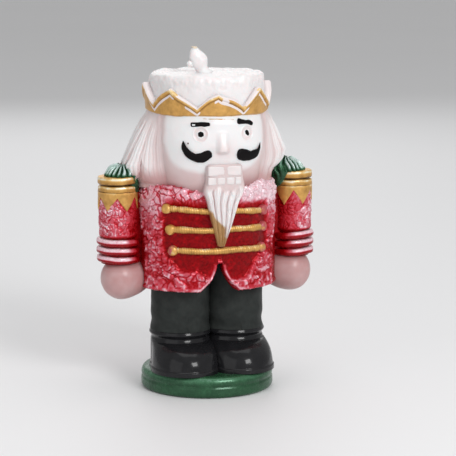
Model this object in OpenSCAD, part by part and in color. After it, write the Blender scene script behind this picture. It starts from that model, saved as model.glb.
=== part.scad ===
// Wax figure candle in the form of a toy soldier nutcracker.
// Millimetres, +Z up, origin at the middle of the underside, the face looks along -Y.
// The figure's own right hand is on the -X side.
// The wax is one casting: each node is one sculpted or painted region of it, and regions meet face to face.

/* [Overall] */
// width of the coat without the arms
coat_w = 40; // [36:0.5:44]
// depth of the coat as a share of its width
coat_share = 0.75; // [0.65:0.01:0.85]
// width of the head at the eyes
head_w = 35; // [31:0.5:37]
// width of the crown at its lower rim
crown_w = 34.6; // [32:0.1:36]
// width of the base
base_w = 38; // [36:0.5:46]

/* [Levels] */
// top of the base
base_top = 6; // [4:0.5:8]
// top of the boots
boot_top = 17; // [14:0.5:19]
// lowest point of the coat tails
hem = 29.5; // [27:0.5:32]
// top of the trousers, inside the coat
waist = 37.8; // [35:0.5:39]
// foot of the neck, inside the coat
shoulder = 57.5; // [55:0.5:58]
// crest of the coat's rounded shoulders, beside the neck
collar = 59.2; // [58.5:0.1:60.5]
// lower rim of the crown
crown_low = 79.4; // [77:0.1:81]
// tips of the crown's points
crown_tip = 87.6; // [85:0.5:88]
// top of the white wax inside the crown
wax_top = 90.2; // [87:0.1:92]

/* [Arms] */
// distance of an arm's axis from the middle
arm_x = 25.9; // [25:0.1:28]
// distance of an arm's axis behind the middle
arm_y = 0.6; // [0:0.1:4]
// width of a sleeve
sleeve_w = 10.8; // [9:0.1:12]
// top of the shoulder dome
dome_top = 65.3; // [64:0.1:68]
// underside of the hand
hand_low = 26.6; // [25:0.1:29]

/* [Wick] */
// thickness of the cotton wick
wick_d = 1.8; // [1:0.1:2.5]
// height of the bent wick's tip
wick_tip = 96.8; // [93:0.1:99]

/* [Hidden] */
$fn = 64;
coat_r = coat_w / 2;
head_r = head_w / 2;
crown_r = crown_w / 2;
sleeve_r = sleeve_w / 2;
wick_r = wick_d / 2;
eye_level = 72;
eye_z = 74.4;
right_eye_x = -6.4;
left_eye_x = 7;
head_top = 80;
crown_core_r = crown_r - 1.1;
crown_flare = 0.8;
crown_points = 8;
crown_turn = -6;
valley = 82;
skin = 0.9;
mask_angle = 70;
mask_low = 62;
nose_w = 2.5;
jaw_half_w = 5.4;
jaw_top = 66;
jaw_front = 18.2;
beard_low = 43;
panel_low = 38.5;
panel_top = 55.5;
panel_angle = 52;
panel_sink = 0.4;
panel_depth = 1.4;
frog_levels = [53.2, 47.3, 41.4];
frog_r = 0.9;
button_r = 1.4;
button_angles = [[-48, 43], [-44.5, 42.5], [-42, 41]];
arm_core_r = 4.6;
cuff_low = 36.8;
cuff_levels = [42.9, 40.45, 38];
cuff_ring_r = 6.1;
band_top = 57;
band_tip = 51.8;
band_valley = 55.8;
band_points = 6;
band_turn = 15;
ring_r = 5.6;
ring_levels = [[57, 59], [59.2, 61.4]];
dome_low = 61.4;
dome_r = 4.9;
hand_r = 5.75;
hand_z = hand_low + hand_r;
hand_inset = 0.6;
leg_x = 7.9;
split_x = -0.2;
split_top = 37.4;
split_low = 28;
leg_r = 8.4;
cut = 40;
lean = [-3.2, 0, wick_tip - wax_top];
lean_len = norm(lean);
lean_angle = atan2(lean[0], lean[2]);

sides = [["right", -1], ["left", 1]];

// ---- shared shapes ----

// the head swells a little at eye level
function head_at(z) = head_r - 0.014 * pow(z - eye_level, 2);

// a revolved sector of the head's skin, from `inner` to `outer` millimetres off its surface
module head_skin(inner, outer, low, high, angle) {
    steps = 8;
    levels = [for (i = [0 : steps]) low + (high - low) * i / steps];
    rotate([0, 0, -90 - angle])
        rotate_extrude(angle = 2 * angle)
            polygon(concat(
                [for (z = levels) [head_at(z) + outer, z]],
                [for (i = [steps : -1 : 0]) [head_at(levels[i]) + inner, levels[i]]]));
}

// the opaque white face ends in a round lower edge, and reaches further round on the right
module face_outline() {
    polygon([[-20, 82], [-15.4, 74], [-14.8, 69], [-13.6, 66], [-11.5, 64.4], [-8, 63.8], [4, 63.2],
        [7.5, 63.3], [10, 64.6], [11.6, 67], [12.4, 70], [12.8, 74], [14, 82]]);
}

module face_shape(outer) {
    intersection() {
        head_skin(-skin, outer, mask_low, crown_low, mask_angle);
        forward(2, 24)
            face_outline();
    }
}

// the whole head without its mask, jaw or hair
module head_body() {
    levels = [for (z = [shoulder : 1.5 : head_top]) z];
    rotate_extrude()
        polygon(concat([[0, shoulder]], [for (z = levels) [head_at(z), z]],
            [[crown_core_r, head_top], [0, head_top]]));
}

// an outline in the X-Z plane pushed from `back` to `front`, both measured forward of the axis
module forward(back, front) {
    translate([0, -back, 0])
        rotate([90, 0, 0])
            linear_extrude(height = front - back)
                children();
}

// the coat is an ellipse in plan with a rounded shoulder
module coat_ellipse() {
    scale([1, coat_share, 1])
        children();
}

module coat_body() {
    round_r = 3.2;
    coat_ellipse()
        rotate_extrude()
            polygon(concat(
                [[0, hem], [coat_r - 1.2, hem], [coat_r, hem + 2]],
                [for (a = [0 : 15 : 90])
                    [coat_r - round_r + round_r * cos(a), collar - round_r + round_r * sin(a)]],
                [[0, collar]]));
}

// a ring sector of the coat's skin, in the coat's own ellipse
module coat_ring(inner, outer, low, high, angle) {
    coat_ellipse()
        rotate([0, 0, -90 - angle])
            rotate_extrude(angle = 2 * angle)
                translate([inner, low])
                    square([outer - inner, high - low]);
}

module wick_bore() {
    translate([0, 0, -1])
        cylinder(h = wax_top + 1.5, r = wick_r, $fn = 24);
}

// ---- wick and crown ----

module wick_stub(r) {
    translate([0, 0, wax_top])
        rotate([0, lean_angle, 0])
            cylinder(h = lean_len, r = r, $fn = 24);
}

module wick() {
    color("#d9cdb8") {
        cylinder(h = wax_top, r = wick_r, $fn = 24);
        difference() {
            union() {
                wick_stub(wick_r);
                translate([0, 0, wax_top])
                    sphere(r = wick_r, $fn = 24);
            }
            translate([0, 0, wax_top - cut])
                cylinder(h = cut, r = crown_r);
        }
    }
}

module wick_wax() {
    color("#efe9ea")
        difference() {
            union() {
                translate([-1.4, 0, wax_top + 3.2])
                    rotate([0, lean_angle, 0])
                        scale([2.6, 2, 4.3])
                            sphere(r = 1, $fn = 32);
                translate([-4.1, 0, wax_top + 2.9])
                    sphere(r = 1, $fn = 24);
                translate([0, 0, wax_top])
                    cylinder(h = 1.6, r1 = 3, r2 = 2, $fn = 32);
            }
            wick_stub(wick_r);
            translate([0, 0, wax_top])
                sphere(r = wick_r, $fn = 24);
            translate([0, 0, wax_top - cut])
                cylinder(h = cut, r = crown_r);
        }
}

module crown_wax() {
    edge = 1.2;
    color("#efe9ea")
        difference() {
            rotate_extrude()
                polygon([[0, head_top], [crown_core_r, head_top], [crown_core_r, wax_top - edge],
                    [crown_core_r - 0.4, wax_top - 0.4], [crown_core_r - edge, wax_top], [0, wax_top]]);
            wick_bore();
        }
}

// half the width of one point of the crown, with a little to spare
crown_half = crown_r * sin(180 / crown_points) + 0.4;

// one V notch cut through the crown's rim
module crown_notch() {
    half = crown_half;
    forward(crown_core_r - 3, crown_r + 4)
        polygon([[0, valley], [half, crown_tip], [half, crown_tip + 2], [-half, crown_tip + 2],
            [-half, crown_tip]]);
}

module crown_band() {
    color("#cd9b55")
        difference() {
            rotate_extrude($fn = 180)
                polygon([[crown_core_r, crown_low], [crown_r, crown_low],
                    [crown_r + crown_flare, crown_tip], [crown_core_r, crown_tip]]);
            for (i = [0 : crown_points - 1])
                rotate([0, 0, crown_turn + (i + 0.5) * 360 / crown_points])
                    crown_notch();
        }
}

// the raised edge that follows the zigzag
module crown_edge() {
    width = 1.2;
    raised = 0.5;
    half = crown_half;
    color("#e3b96c")
        difference() {
            rotate_extrude($fn = 180)
                polygon([[crown_r, crown_low], [crown_r + raised, crown_low],
                    [crown_r + crown_flare + raised, crown_tip], [crown_r + crown_flare, crown_tip]]);
            for (i = [0 : crown_points - 1]) {
                rotate([0, 0, crown_turn + (i + 0.5) * 360 / crown_points])
                    crown_notch();
                rotate([0, 0, crown_turn + i * 360 / crown_points])
                    forward(crown_core_r - 3, crown_r + 4)
                        polygon([[-half, crown_low - 1], [-half, valley - width], [0, crown_tip - 1.6 * width],
                            [half, valley - width], [half, crown_low - 1]]);
            }
        }
}

// ---- head ----

// side locks: a cone that leans out from the crown to the shoulder
module hair_cone(side) {
    translate([side * 15.2, 1.8, collar])
        rotate([0, side * -5, 0])
            cylinder(h = 21.5, r1 = 9.4, r2 = 3.4);
}

module jaw_block() {
    forward(12, jaw_front)
        polygon([[-jaw_half_w, 59], [jaw_half_w, 59], [jaw_half_w, jaw_top - 0.8],
            [jaw_half_w - 0.8, jaw_top], [-jaw_half_w + 0.8, jaw_top], [-jaw_half_w, jaw_top - 0.8]]);
}

module head() {
    color("#e6d6d8")
        difference() {
            head_body();
            face_shape(2);
            wick_bore();
        }
}

module face() {
    color("#f2eeef")
        difference() {
            face_shape(0);
            jaw_block();
        }
}

module side_hair(side) {
    color("#efe8e9")
        difference() {
            hair_cone(side);
            head_body();
            translate([-cut, -cut, crown_low])
                cube([2 * cut, 2 * cut, cut]);
            translate([-cut, -cut, shoulder])
                cube([2 * cut, 2 * cut, collar - shoulder]);
        }
}

module back_hair() {
    back_r = 20.5;
    color("#efe8e9")
        difference() {
            rotate([0, 0, 5])
                rotate_extrude(angle = 170)
                    polygon([[10, collar], [back_r - 1, collar], [back_r, collar + 2],
                        [back_r - 0.7, 70], [crown_r + 0.6, crown_low - 1], [crown_r - 0.4, crown_low],
                        [10, crown_low]]);
            head_body();
            hair_cone(-1);
            hair_cone(1);
        }
}

module nose() {
    color("#f2eeef")
        difference() {
            rotate([90, 0, 90])
                translate([0, 0, -nose_w / 2])
                    linear_extrude(height = nose_w)
                        polygon([[-16, 75], [-17.6, 75], [-19.6, 70.4], [-19.4, 69.4], [-16, 69.2]]);
            head_body();
        }
}

// a painted feature in low relief on the head, from an outline in the X-Z plane
module on_face(height) {
    intersection() {
        head_skin(0, height, mask_low, crown_low - 0.2, mask_angle);
        forward(8, 24)
            children();
    }
}

// arc points about a centre
function arc(centre, rx, rz, from, to, n) =
    [for (i = [0 : n]) centre + [rx * cos(from + (to - from) * i / n), rz * sin(from + (to - from) * i / n)]];

// a closed curve through every point of a short list
function spline_at(p, i, t) =
    let (n = len(p), a = p[(i + n - 1) % n], b = p[i], c = p[(i + 1) % n], d = p[(i + 2) % n])
        0.5 * (2 * b + (c - a) * t + (2 * a - 5 * b + 4 * c - d) * t * t
            + (3 * b - a - 3 * c + d) * t * t * t);

function smooth(p, steps) =
    [for (i = [0 : len(p) - 1]) for (s = [0 : steps - 1]) spline_at(p, i, s / steps)];

module right_eyebrow() {
    color("#161416")
        on_face(0.5)
            polygon([[-8.7, 76.5], [-8.7, 77.6], [-8.3, 77.8], [-4, 77.7], [-3.8, 77.3], [-4.2, 76.7]]);
}

module left_eyebrow() {
    color("#161416")
        on_face(0.5)
            polygon([[3.9, 77.7], [4.4, 78.5], [6.4, 78], [7.8, 77.8], [9.1, 77], [8.7, 76.4], [6.7, 76.8],
                [4.7, 76.8]]);
}

module eye_ring(x, rx, rz) {
    width = 0.6;
    color("#f2eeef")
        on_face(0.45)
            difference() {
                polygon(arc([x, eye_z], rx, rz, 0, 350, 35));
                polygon(arc([x, eye_z], rx - width, rz - width, 0, 350, 35));
            }
}

module right_eye_ring() {
    eye_ring(right_eye_x, 2, 2);
}

module left_eye_ring() {
    eye_ring(left_eye_x, 1.7, 2);
}

module pupil(x) {
    color("#161416")
        on_face(0.35)
            polygon(arc([x, eye_z], 0.8, 0.9, 0, 345, 23));
}

module right_pupil() {
    pupil(right_eye_x);
}

module left_pupil() {
    pupil(left_eye_x);
}

// each half of the moustache hangs beside the nose and curls up to a thin tip at its outer end
module moustache(outline) {
    color("#161416")
        on_face(1)
            polygon(smooth(outline, 4));
}

module right_moustache() {
    moustache([[-10.8, 72.6], [-11.3, 70.6], [-10.4, 68.2], [-8.8, 67.2], [-5.9, 66.6], [-4.1, 67.6],
        [-3.4, 69.1], [-4.5, 70.1], [-7.4, 69.2], [-9.4, 70.4]]);
}

module left_moustache() {
    moustache([[11.8, 71.2], [11.4, 69.2], [10.3, 67], [8, 66.6], [4.6, 67], [3.7, 68.6],
        [4.6, 70.1], [6.8, 70], [8.6, 69.3], [10.4, 69.8]]);
}

// ---- teeth and beard ----

// one tooth with rounded lower corners
module tooth(x, width, low, high) {
    r = 0.5;
    forward(jaw_front, jaw_front + 0.7)
        polygon(concat(
            arc([x + r, low + r], r, r, 180, 270, 3),
            arc([x + width - r, low + r], r, r, 270, 360, 3),
            [[x + width, high], [x, high]]));
}

// a row of teeth standing on one low strip
module tooth_row(count, low, high) {
    half = 4.7;
    gap = 0.25;
    pitch = 2 * half / count;
    color("#f0e9ea")
        union() {
            for (i = [0 : count - 1])
                tooth(-half + i * pitch + gap / 2, pitch - gap, low, high);
            forward(jaw_front, jaw_front + 0.2)
                translate([-half, low + 0.3])
                    square([2 * half, high - low - 0.3]);
        }
}

module upper_teeth() {
    tooth_row(2, 62.9, 65.7);
}

module lower_teeth() {
    tooth_row(4, 60.4, 62.6);
}

module beard_outline() {
    polygon([[-jaw_half_w, 59], [-6, 57.5], [-5.4, 54], [-3.6, 50], [-2.1, 46.5], [-1, beard_low],
        [1.1, beard_low], [2.1, 46.5], [3.8, 52], [5.2, 57], [jaw_half_w, 59]]);
}

module beard_block() {
    intersection() {
        forward(8, jaw_front)
            beard_outline();
        rotate([90, 0, 90])
            translate([0, 0, -10])
                linear_extrude(height = 20)
                    polygon([[0, 70], [-jaw_front, 70], [-jaw_front, 56], [-16.6, 42], [0, 42]]);
    }
}

module beard() {
    color("#ece4e5")
        difference() {
            union() {
                jaw_block();
                beard_block();
            }
            head_body();
            coat_body();
            braids();
            gold_corner(12, 24);
        }
}

// the beard's lower right edge is painted gold
module gold_corner(back, front) {
    forward(back, front)
        polygon([[-8, 53.5], [-4.4, 53.5], [-1.8, 47], [0.1, 45], [3, 45], [3, 42], [-8, 42]]);
}

module beard_gold() {
    color("#cd9b55")
        difference() {
            intersection() {
                beard_block();
                gold_corner(12, 24);
            }
            coat_body();
            braids();
        }
}

// ---- coat ----

// half the width of the opening between the tails, `t` of the way down
function split_half(t) = 0.65 + 6.8 * pow(t, 1.8);

// the coat tails part below a narrow flat top and sweep away to either side
module tail_split() {
    drop = split_top - split_low;
    forward(4, 20)
        polygon(concat(
            [for (t = [0 : 0.1 : 1]) [split_x - split_half(t), split_top - drop * t]],
            [for (t = [1 : -0.1 : 0]) [split_x + split_half(t), split_top - drop * t]]));
}

module arm_axis(side) {
    translate([side * arm_x, arm_y, 0])
        children();
}

// a thin web of wax fills the gap between each arm and the coat
module arm_web(side, low, high) {
    thick = 4;
    inner_x = coat_r - 6;
    translate([side > 0 ? inner_x : -arm_x, arm_y - thick / 2, low])
        cube([arm_x - inner_x, thick, high - low]);
}

module coat() {
    color("#b81e30")
        difference() {
            union() {
                coat_body();
                for (s = sides)
                    arm_web(s[1], cuff_low, band_top);
            }
            coat_ring(coat_r - panel_depth, coat_r + 2, panel_low, panel_top, panel_angle);
            tail_split();
            trousers_block(waist);
            head_body();
            for (s = sides)
                arm_axis(s[1])
                    translate([0, 0, hem])
                        cylinder(h = shoulder - hem, r = sleeve_r);
            wick_bore();
        }
}

module coat_panel() {
    color("#a51226")
        difference() {
            coat_ring(coat_r - panel_depth, coat_r - panel_sink, panel_low, panel_top, panel_angle);
            beard_block();
        }
}

// a braid that runs round the front of the coat
module frog(level, from, to) {
    surface = coat_r - panel_sink;
    coat_ellipse()
        difference() {
            rotate([0, 0, -90 + from])
                rotate_extrude(angle = to - from, $fn = 240)
                    translate([surface, level])
                        circle(r = frog_r);
            cylinder(h = 90, r = surface, $fn = 240);
        }
}

// the braids as they pass behind the beard
module braids() {
    for (level = frog_levels)
        frog(level, -20, 20);
}

module upper_frog() {
    color("#cd9b55")
        frog(frog_levels[0], -44, 39);
}

module middle_frog() {
    color("#cd9b55")
        frog(frog_levels[1], -41, 38.5);
}

module lower_frog() {
    color("#cd9b55")
        frog(frog_levels[2], -38.5, 37);
}

// a round button at each end of a braid, standing square to the coat
module button(row, side) {
    angle = button_angles[row][side < 0 ? 0 : 1];
    surface = coat_r - panel_sink;
    height = 1;
    color("#d9ab62")
        translate([surface * sin(angle), -surface * coat_share * cos(angle), frog_levels[row]])
            rotate([90, 0, atan(coat_share * tan(angle))])
                cylinder(h = height, r1 = button_r, r2 = button_r - 0.3, $fn = 24);
}

// ---- arms ----

// the gap between two points of the gold band, as a cut through one side of the arm
module band_notch() {
    half = arm_core_r * sin(180 / band_points) - 0.3;
    past = half * (band_valley - band_tip + 1) / (band_valley - band_tip);
    forward(1, sleeve_r + 1)
        polygon([[0, band_valley], [past, band_tip - 1], [-past, band_tip - 1]]);
}

module gold_band_shape() {
    difference() {
        rotate([0, 0, band_turn])
            rotate_extrude()
                translate([arm_core_r, band_tip])
                    square([sleeve_r - arm_core_r + 0.2, band_top - band_tip]);
        for (i = [0 : band_points - 1])
            rotate([0, 0, band_turn + (i + 0.5) * 360 / band_points])
                band_notch();
    }
}

module cuff_ring(level) {
    rotate_extrude()
        polygon([[arm_core_r, level - 0.8], [cuff_ring_r - 0.4, level - 0.8], [cuff_ring_r, level - 0.3],
            [cuff_ring_r, level + 0.3], [cuff_ring_r - 0.4, level + 0.8], [arm_core_r, level + 0.8]]);
}

module sleeve(side) {
    color("#b81e30")
        arm_axis(side)
            difference() {
                translate([0, 0, cuff_low])
                    rotate([0, 0, band_turn]) {
                        cylinder(h = dome_low - cuff_low, r = arm_core_r);
                        cylinder(h = band_top - cuff_low, r = sleeve_r);
                    }
                gold_band_shape();
                for (level = cuff_levels)
                    cuff_ring(level);
            }
}

// a ribbed dome, like a tuft, on top of each arm
module epaulette(side) {
    ribs = 12;
    groove_r = 0.5;
    height = dome_top - dome_low;
    color("#3c6446")
        arm_axis(side)
            difference() {
                rotate_extrude()
                    polygon(concat([[0, dome_low]],
                        [for (a = [0 : 10 : 90])
                            [dome_r * cos(a), dome_low + height * sin(a)]]));
                for (i = [0 : ribs - 1])
                    rotate([0, 0, i * 360 / ribs])
                        translate([dome_r + 0.1, 0, dome_low + 0.6])
                            rotate([0, -28, 0])
                                cylinder(h = 7, r = groove_r, $fn = 16);
            }
}

module shoulder_ring(side, range) {
    low = range[0];
    high = range[1];
    color("#cd9b55")
        arm_axis(side)
            rotate_extrude()
                polygon([[arm_core_r, low], [ring_r - 0.4, low], [ring_r, low + 0.5], [ring_r, high - 0.5],
                    [ring_r - 0.4, high], [arm_core_r, high]]);
}

module gold_band(side) {
    color("#cd9b55")
        arm_axis(side)
            gold_band_shape();
}

module cuff(side, level) {
    color("#dfb4bd")
        arm_axis(side)
            cuff_ring(level);
}

module hand(side) {
    color("#e6d6d8")
        difference() {
            union() {
                translate([side * (arm_x - hand_inset), arm_y - 0.5, hand_z])
                    scale([1, 1, 1.06])
                        sphere(r = hand_r);
                arm_web(side, 28.5, 36);
            }
            coat_body();
            arm_axis(side)
                translate([0, 0, cuff_low])
                    cylinder(h = 10, r = sleeve_r + 2);
        }
}

// ---- legs and base ----

module trousers_block(top) {
    for (s = sides)
        translate([s[1] * leg_x, 0, boot_top])
            cylinder(h = top - boot_top, r = leg_r);
}

module half_space(side) {
    translate([side < 0 ? -cut : 0, -cut, 0])
        cube([cut, 2 * cut, 100]);
}

module trouser(side) {
    color("#232426")
        difference() {
            intersection() {
                trousers_block(waist);
                half_space(side);
            }
            wick_bore();
        }
}

module boot(side) {
    toe_r = 9.6;
    toe_y = -6.5;
    color("#141315")
        difference() {
            intersection() {
                union() {
                    translate([side * leg_x, 0, base_top])
                        cylinder(h = boot_top - base_top, r = leg_r + 0.3);
                    translate([side * (leg_x + 0.3), toe_y, base_top + 0.5])
                        scale([0.8, 1, 0.68])
                            sphere(r = toe_r);
                }
                half_space(side);
                translate([-cut, -cut, base_top])
                    cube([2 * cut, 2 * cut, boot_top - base_top]);
            }
            wick_bore();
        }
}

module base() {
    edge = 0.8;
    r = base_w / 2;
    color("#2f5a40")
        difference() {
            rotate_extrude()
                polygon([[0, 0], [r - edge, 0], [r, edge], [r, base_top - edge], [r - edge, base_top],
                    [0, base_top]]);
            wick_bore();
        }
}

wick();
wick_wax();
crown_wax();
crown_band();
crown_edge();
head();
face();
side_hair(-1);  // right_hair
side_hair(1);  // left_hair
back_hair();
nose();
right_eyebrow();
left_eyebrow();
right_eye_ring();
left_eye_ring();
right_pupil();
left_pupil();
right_moustache();
left_moustache();
upper_teeth();
lower_teeth();
beard();
beard_gold();
coat();
coat_panel();
upper_frog();
middle_frog();
lower_frog();
button(0, -1);  // right_upper_button
button(0, 1);  // left_upper_button
button(1, -1);  // right_middle_button
button(1, 1);  // left_middle_button
button(2, -1);  // right_lower_button
button(2, 1);  // left_lower_button
sleeve(-1);  // right_sleeve
sleeve(1);  // left_sleeve
epaulette(-1);  // right_epaulette
epaulette(1);  // left_epaulette
shoulder_ring(-1, ring_levels[1]);  // right_upper_ring
shoulder_ring(1, ring_levels[1]);  // left_upper_ring
shoulder_ring(-1, ring_levels[0]);  // right_lower_ring
shoulder_ring(1, ring_levels[0]);  // left_lower_ring
gold_band(-1);  // right_gold_band
gold_band(1);  // left_gold_band
cuff(-1, cuff_levels[0]);  // right_cuff_upper
cuff(-1, cuff_levels[1]);  // right_cuff_middle
cuff(-1, cuff_levels[2]);  // right_cuff_lower
cuff(1, cuff_levels[0]);  // left_cuff_upper
cuff(1, cuff_levels[1]);  // left_cuff_middle
cuff(1, cuff_levels[2]);  // left_cuff_lower
hand(-1);  // right_hand
hand(1);  // left_hand
trouser(-1);  // right_trouser
trouser(1);  // left_trouser
boot(-1);  // right_boot
boot(1);  // left_boot
base();
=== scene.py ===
"""The looks of a wax nutcracker figure candle: dense sculpted meshes over the CAD frame, lights and a camera.

Sculpting is done in millimetres in the CAD frame (+Z up, face along -Y); make() turns it into metres.
Angles round the figure are in degrees from the front, positive towards +X.
"""
import math

import bpy
import numpy as np
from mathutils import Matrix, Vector


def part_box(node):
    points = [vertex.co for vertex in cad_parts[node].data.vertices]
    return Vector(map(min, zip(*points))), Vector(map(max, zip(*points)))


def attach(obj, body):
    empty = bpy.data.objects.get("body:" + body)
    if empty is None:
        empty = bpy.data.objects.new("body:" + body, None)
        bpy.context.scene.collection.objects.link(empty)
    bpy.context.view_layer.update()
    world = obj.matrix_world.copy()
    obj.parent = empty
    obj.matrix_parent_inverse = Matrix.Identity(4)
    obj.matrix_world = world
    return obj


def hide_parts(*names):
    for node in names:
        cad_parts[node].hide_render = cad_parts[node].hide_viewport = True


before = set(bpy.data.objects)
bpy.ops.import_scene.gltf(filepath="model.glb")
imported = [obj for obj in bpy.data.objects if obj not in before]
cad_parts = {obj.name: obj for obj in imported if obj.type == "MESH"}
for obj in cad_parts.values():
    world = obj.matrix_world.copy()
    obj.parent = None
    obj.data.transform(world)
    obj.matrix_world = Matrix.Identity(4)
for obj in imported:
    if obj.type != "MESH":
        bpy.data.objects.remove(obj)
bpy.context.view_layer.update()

MM = 0.001
SIDES = {"right": -1, "left": 1}


# ---- places, all read from the frame ----

def low(node):
    """The least x, y and z of a node, in millimetres."""
    return np.array(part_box(node)[0]) / MM


def high(node):
    return np.array(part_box(node)[1]) / MM


def heights(node):
    """The z of a node's underside and of its top."""
    return low(node)[2], high(node)[2]


def middle(node):
    return (low(node) + high(node)) / 2


def half_depth(node):
    return (high(node)[1] - low(node)[1]) / 2


def in_box(node, shares):
    """Points (x, z) given as shares of a node's width and height."""
    a, b = low(node), high(node)
    return [[a[0] + u * (b[0] - a[0]), a[2] + v * (b[2] - a[2])] for u, v in shares]


HEM = low("coat")[2]
SHOULDER = low("head")[2]
COLLAR = high("coat")[2]
CROWN_LOW = low("crown_band")[2]
CROWN_TIP = high("crown_band")[2]
VALLEY = low("crown_edge")[2] + 1.4  # between the crown's points
WAX_TOP = high("crown_wax")[2]
WICK_TIP = high("wick")[2]
HEAD_R = (high("head")[0] - low("head")[0]) / 2
CORE_R = high("crown_wax")[0]
CROWN_R = CORE_R + 1.1
CROWN_FLARE = high("crown_band")[0] - CROWN_R
COAT_SHARE = 0.75  # the coat's depth over its width
COAT_R = high("coat")[1] / COAT_SHARE
PANEL_SINK = COAT_R + low("coat_panel")[1] / COAT_SHARE  # how deep the front panel lies in the coat
PANEL_R = COAT_R - PANEL_SINK
PANEL_LOW, PANEL_TOP = heights("coat_panel")
SPLIT_TOP = PANEL_LOW - 1.1
SPLIT_X = -0.25  # the middle of the coat's split
SPLIT_HALF = 0.65  # its half-width at the top
SPLIT_FLARE = 5.1  # how much wider each side of it is at the hem
EYE_LEVEL = middle("nose")[2] - 0.1
BROW_LEVEL = middle("right_eyebrow")[2]
EYES = [middle("right_eye_ring"), middle("left_eye_ring")]
NOSE_LOW, NOSE_HIGH = low("nose"), high("nose")
ARM = {side: middle(f"{side}_sleeve") for side in SIDES}
SLEEVE_R = half_depth("right_sleeve")
CUFF_LOW = low("right_sleeve")[2]
CUFF_TOP = high("right_cuff_upper")[2]
LEG_R = half_depth("left_trouser")
LEG_X = high("left_trouser")[0] - LEG_R
JAW_FRONT = -low("beard")[1]
JAW_TOP = high("beard")[2]
JAW_HALF = high("upper_teeth")[0] + 0.5
TEETH_LOW = low("lower_teeth")[2]
BEARD_LOW = low("beard_gold")[2]
FROGS = {row: middle(f"{row}_frog")[2] for row in ("upper", "middle", "lower")}


# ---- numbers: smooth steps, noise and cells ----

def ramp(a, b, x):
    """0 at a, 1 at b, smooth between; a may be above b."""
    t = share((x - a) / (b - a))
    return t * t * (3 - 2 * t)


def bump(x, centre, width):
    """1 at the centre, falling smoothly to about a third at `width` from it."""
    return np.exp(-((x - centre) / width) ** 2)


def share(x):
    """x kept between 0 and 1."""
    return np.clip(x, 0, 1)


def rounded(x, power):
    """1 at x = 0 and 0 at x = 1 and -1, along a superellipse."""
    return np.sqrt(share(1 - np.abs(x) ** power))


def sin_deg(angle):
    return np.sin(np.radians(angle))


def cos_deg(angle):
    return np.cos(np.radians(angle))


def signed(angle):
    """The same angle between -180 and 180."""
    return (angle + 180) % 360 - 180


def lattice(i, seed):
    """A fixed number from 0 to 1 for each point of the whole-number grid."""
    h = (i[..., 0] * 374761393 + i[..., 1] * 668265263 + i[..., 2] * 1442695041 + seed * 974711) & 0xFFFFFFFF
    h = ((h ^ (h >> 13)) * 1274126177) & 0xFFFFFFFF
    return ((h ^ (h >> 16)) & 0xFFFF) / 65535.0


def noise(p, size, seed):
    """Smooth noise from -1 to 1 with lumps of about `size`."""
    q = p / size
    base = np.floor(q).astype(np.int64)
    f = q - base
    f = f * f * (3 - 2 * f)
    near_or_far = (1 - f, f)
    total = 0
    for dx in (0, 1):
        for dy in (0, 1):
            for dz in (0, 1):
                weight = near_or_far[dx][..., 0] * near_or_far[dy][..., 1] * near_or_far[dz][..., 2]
                total = total + weight * lattice(base + np.array([dx, dy, dz]), seed)
    return total * 2 - 1


def fbm(p, size, seed):
    """Noise with finer noise on it, from about -1 to 1."""
    return sum(noise(p, size / 2 ** k, seed + k) / 2 ** k for k in range(3)) / 1.5


def cells(p, size, seed):
    """How much further the second nearest cell centre is, in units of size, and a number for each cell."""
    q = p / size
    base = np.floor(q).astype(np.int64)
    near = np.full(q.shape[:-1], 9.0)
    second = near.copy()
    tag = np.zeros_like(near)
    for dx in (-1, 0, 1):
        for dy in (-1, 0, 1):
            for dz in (-1, 0, 1):
                cell = base + np.array([dx, dy, dz])
                centre = cell + np.stack([lattice(cell, seed + k) for k in (1, 2, 3)], -1)
                d = np.linalg.norm(centre - q, axis=-1)
                closer = d < near
                second = np.where(closer, near, np.minimum(second, d))
                tag = np.where(closer, lattice(cell, seed + 7), tag)
                near = np.where(closer, d, near)
    return second - near, tag


# ---- meshes ----

def at(x, y, z):
    """Points with these coordinates, given as arrays or numbers."""
    return np.stack(np.broadcast_arrays(x, y, z), -1)


def around(angle, r, z):
    """Points at `angle` degrees from the front and r from the axis."""
    return at(r * sin_deg(angle), -r * cos_deg(angle), z)


def once_round(step):
    """A row of angles, `step` degrees apart."""
    return np.arange(0, 360, step)[None, :]


def circle(count):
    """`count` angles once round, in radians."""
    return np.linspace(0, 2 * np.pi, count, endpoint=False)


def normals(p, wrap):
    """The direction out of a grid at each of its points."""
    if wrap:
        du = np.roll(p, -1, 1) - np.roll(p, 1, 1)
    else:
        du = np.gradient(p, axis=1)
    dv = np.gradient(p, axis=0)
    n = np.cross(du, dv)
    return n / np.maximum(np.linalg.norm(n, axis=-1, keepdims=True), 1e-9)


def swell(p, height, wrap=True):
    """Moves each point out by its height."""
    return p + normals(p, wrap) * height[..., None]


def grid_faces(rows, cols, wrap, start=0, flip=False):
    """The four-sided faces of a grid whose points are numbered from `start`."""
    i = np.arange(rows - 1)[:, None]
    j = np.arange(cols if wrap else cols - 1)[None, :]
    k = (j + 1) % cols
    here, above = start + i * cols, start + (i + 1) * cols
    f = np.stack([here + j, here + k, above + k, above + j], -1).reshape(-1, 4)
    return f[:, ::-1] if flip else f


def put_in_scene(name, data):
    thing = bpy.data.objects.new(name, data)
    bpy.context.scene.collection.objects.link(thing)
    return thing


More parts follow.
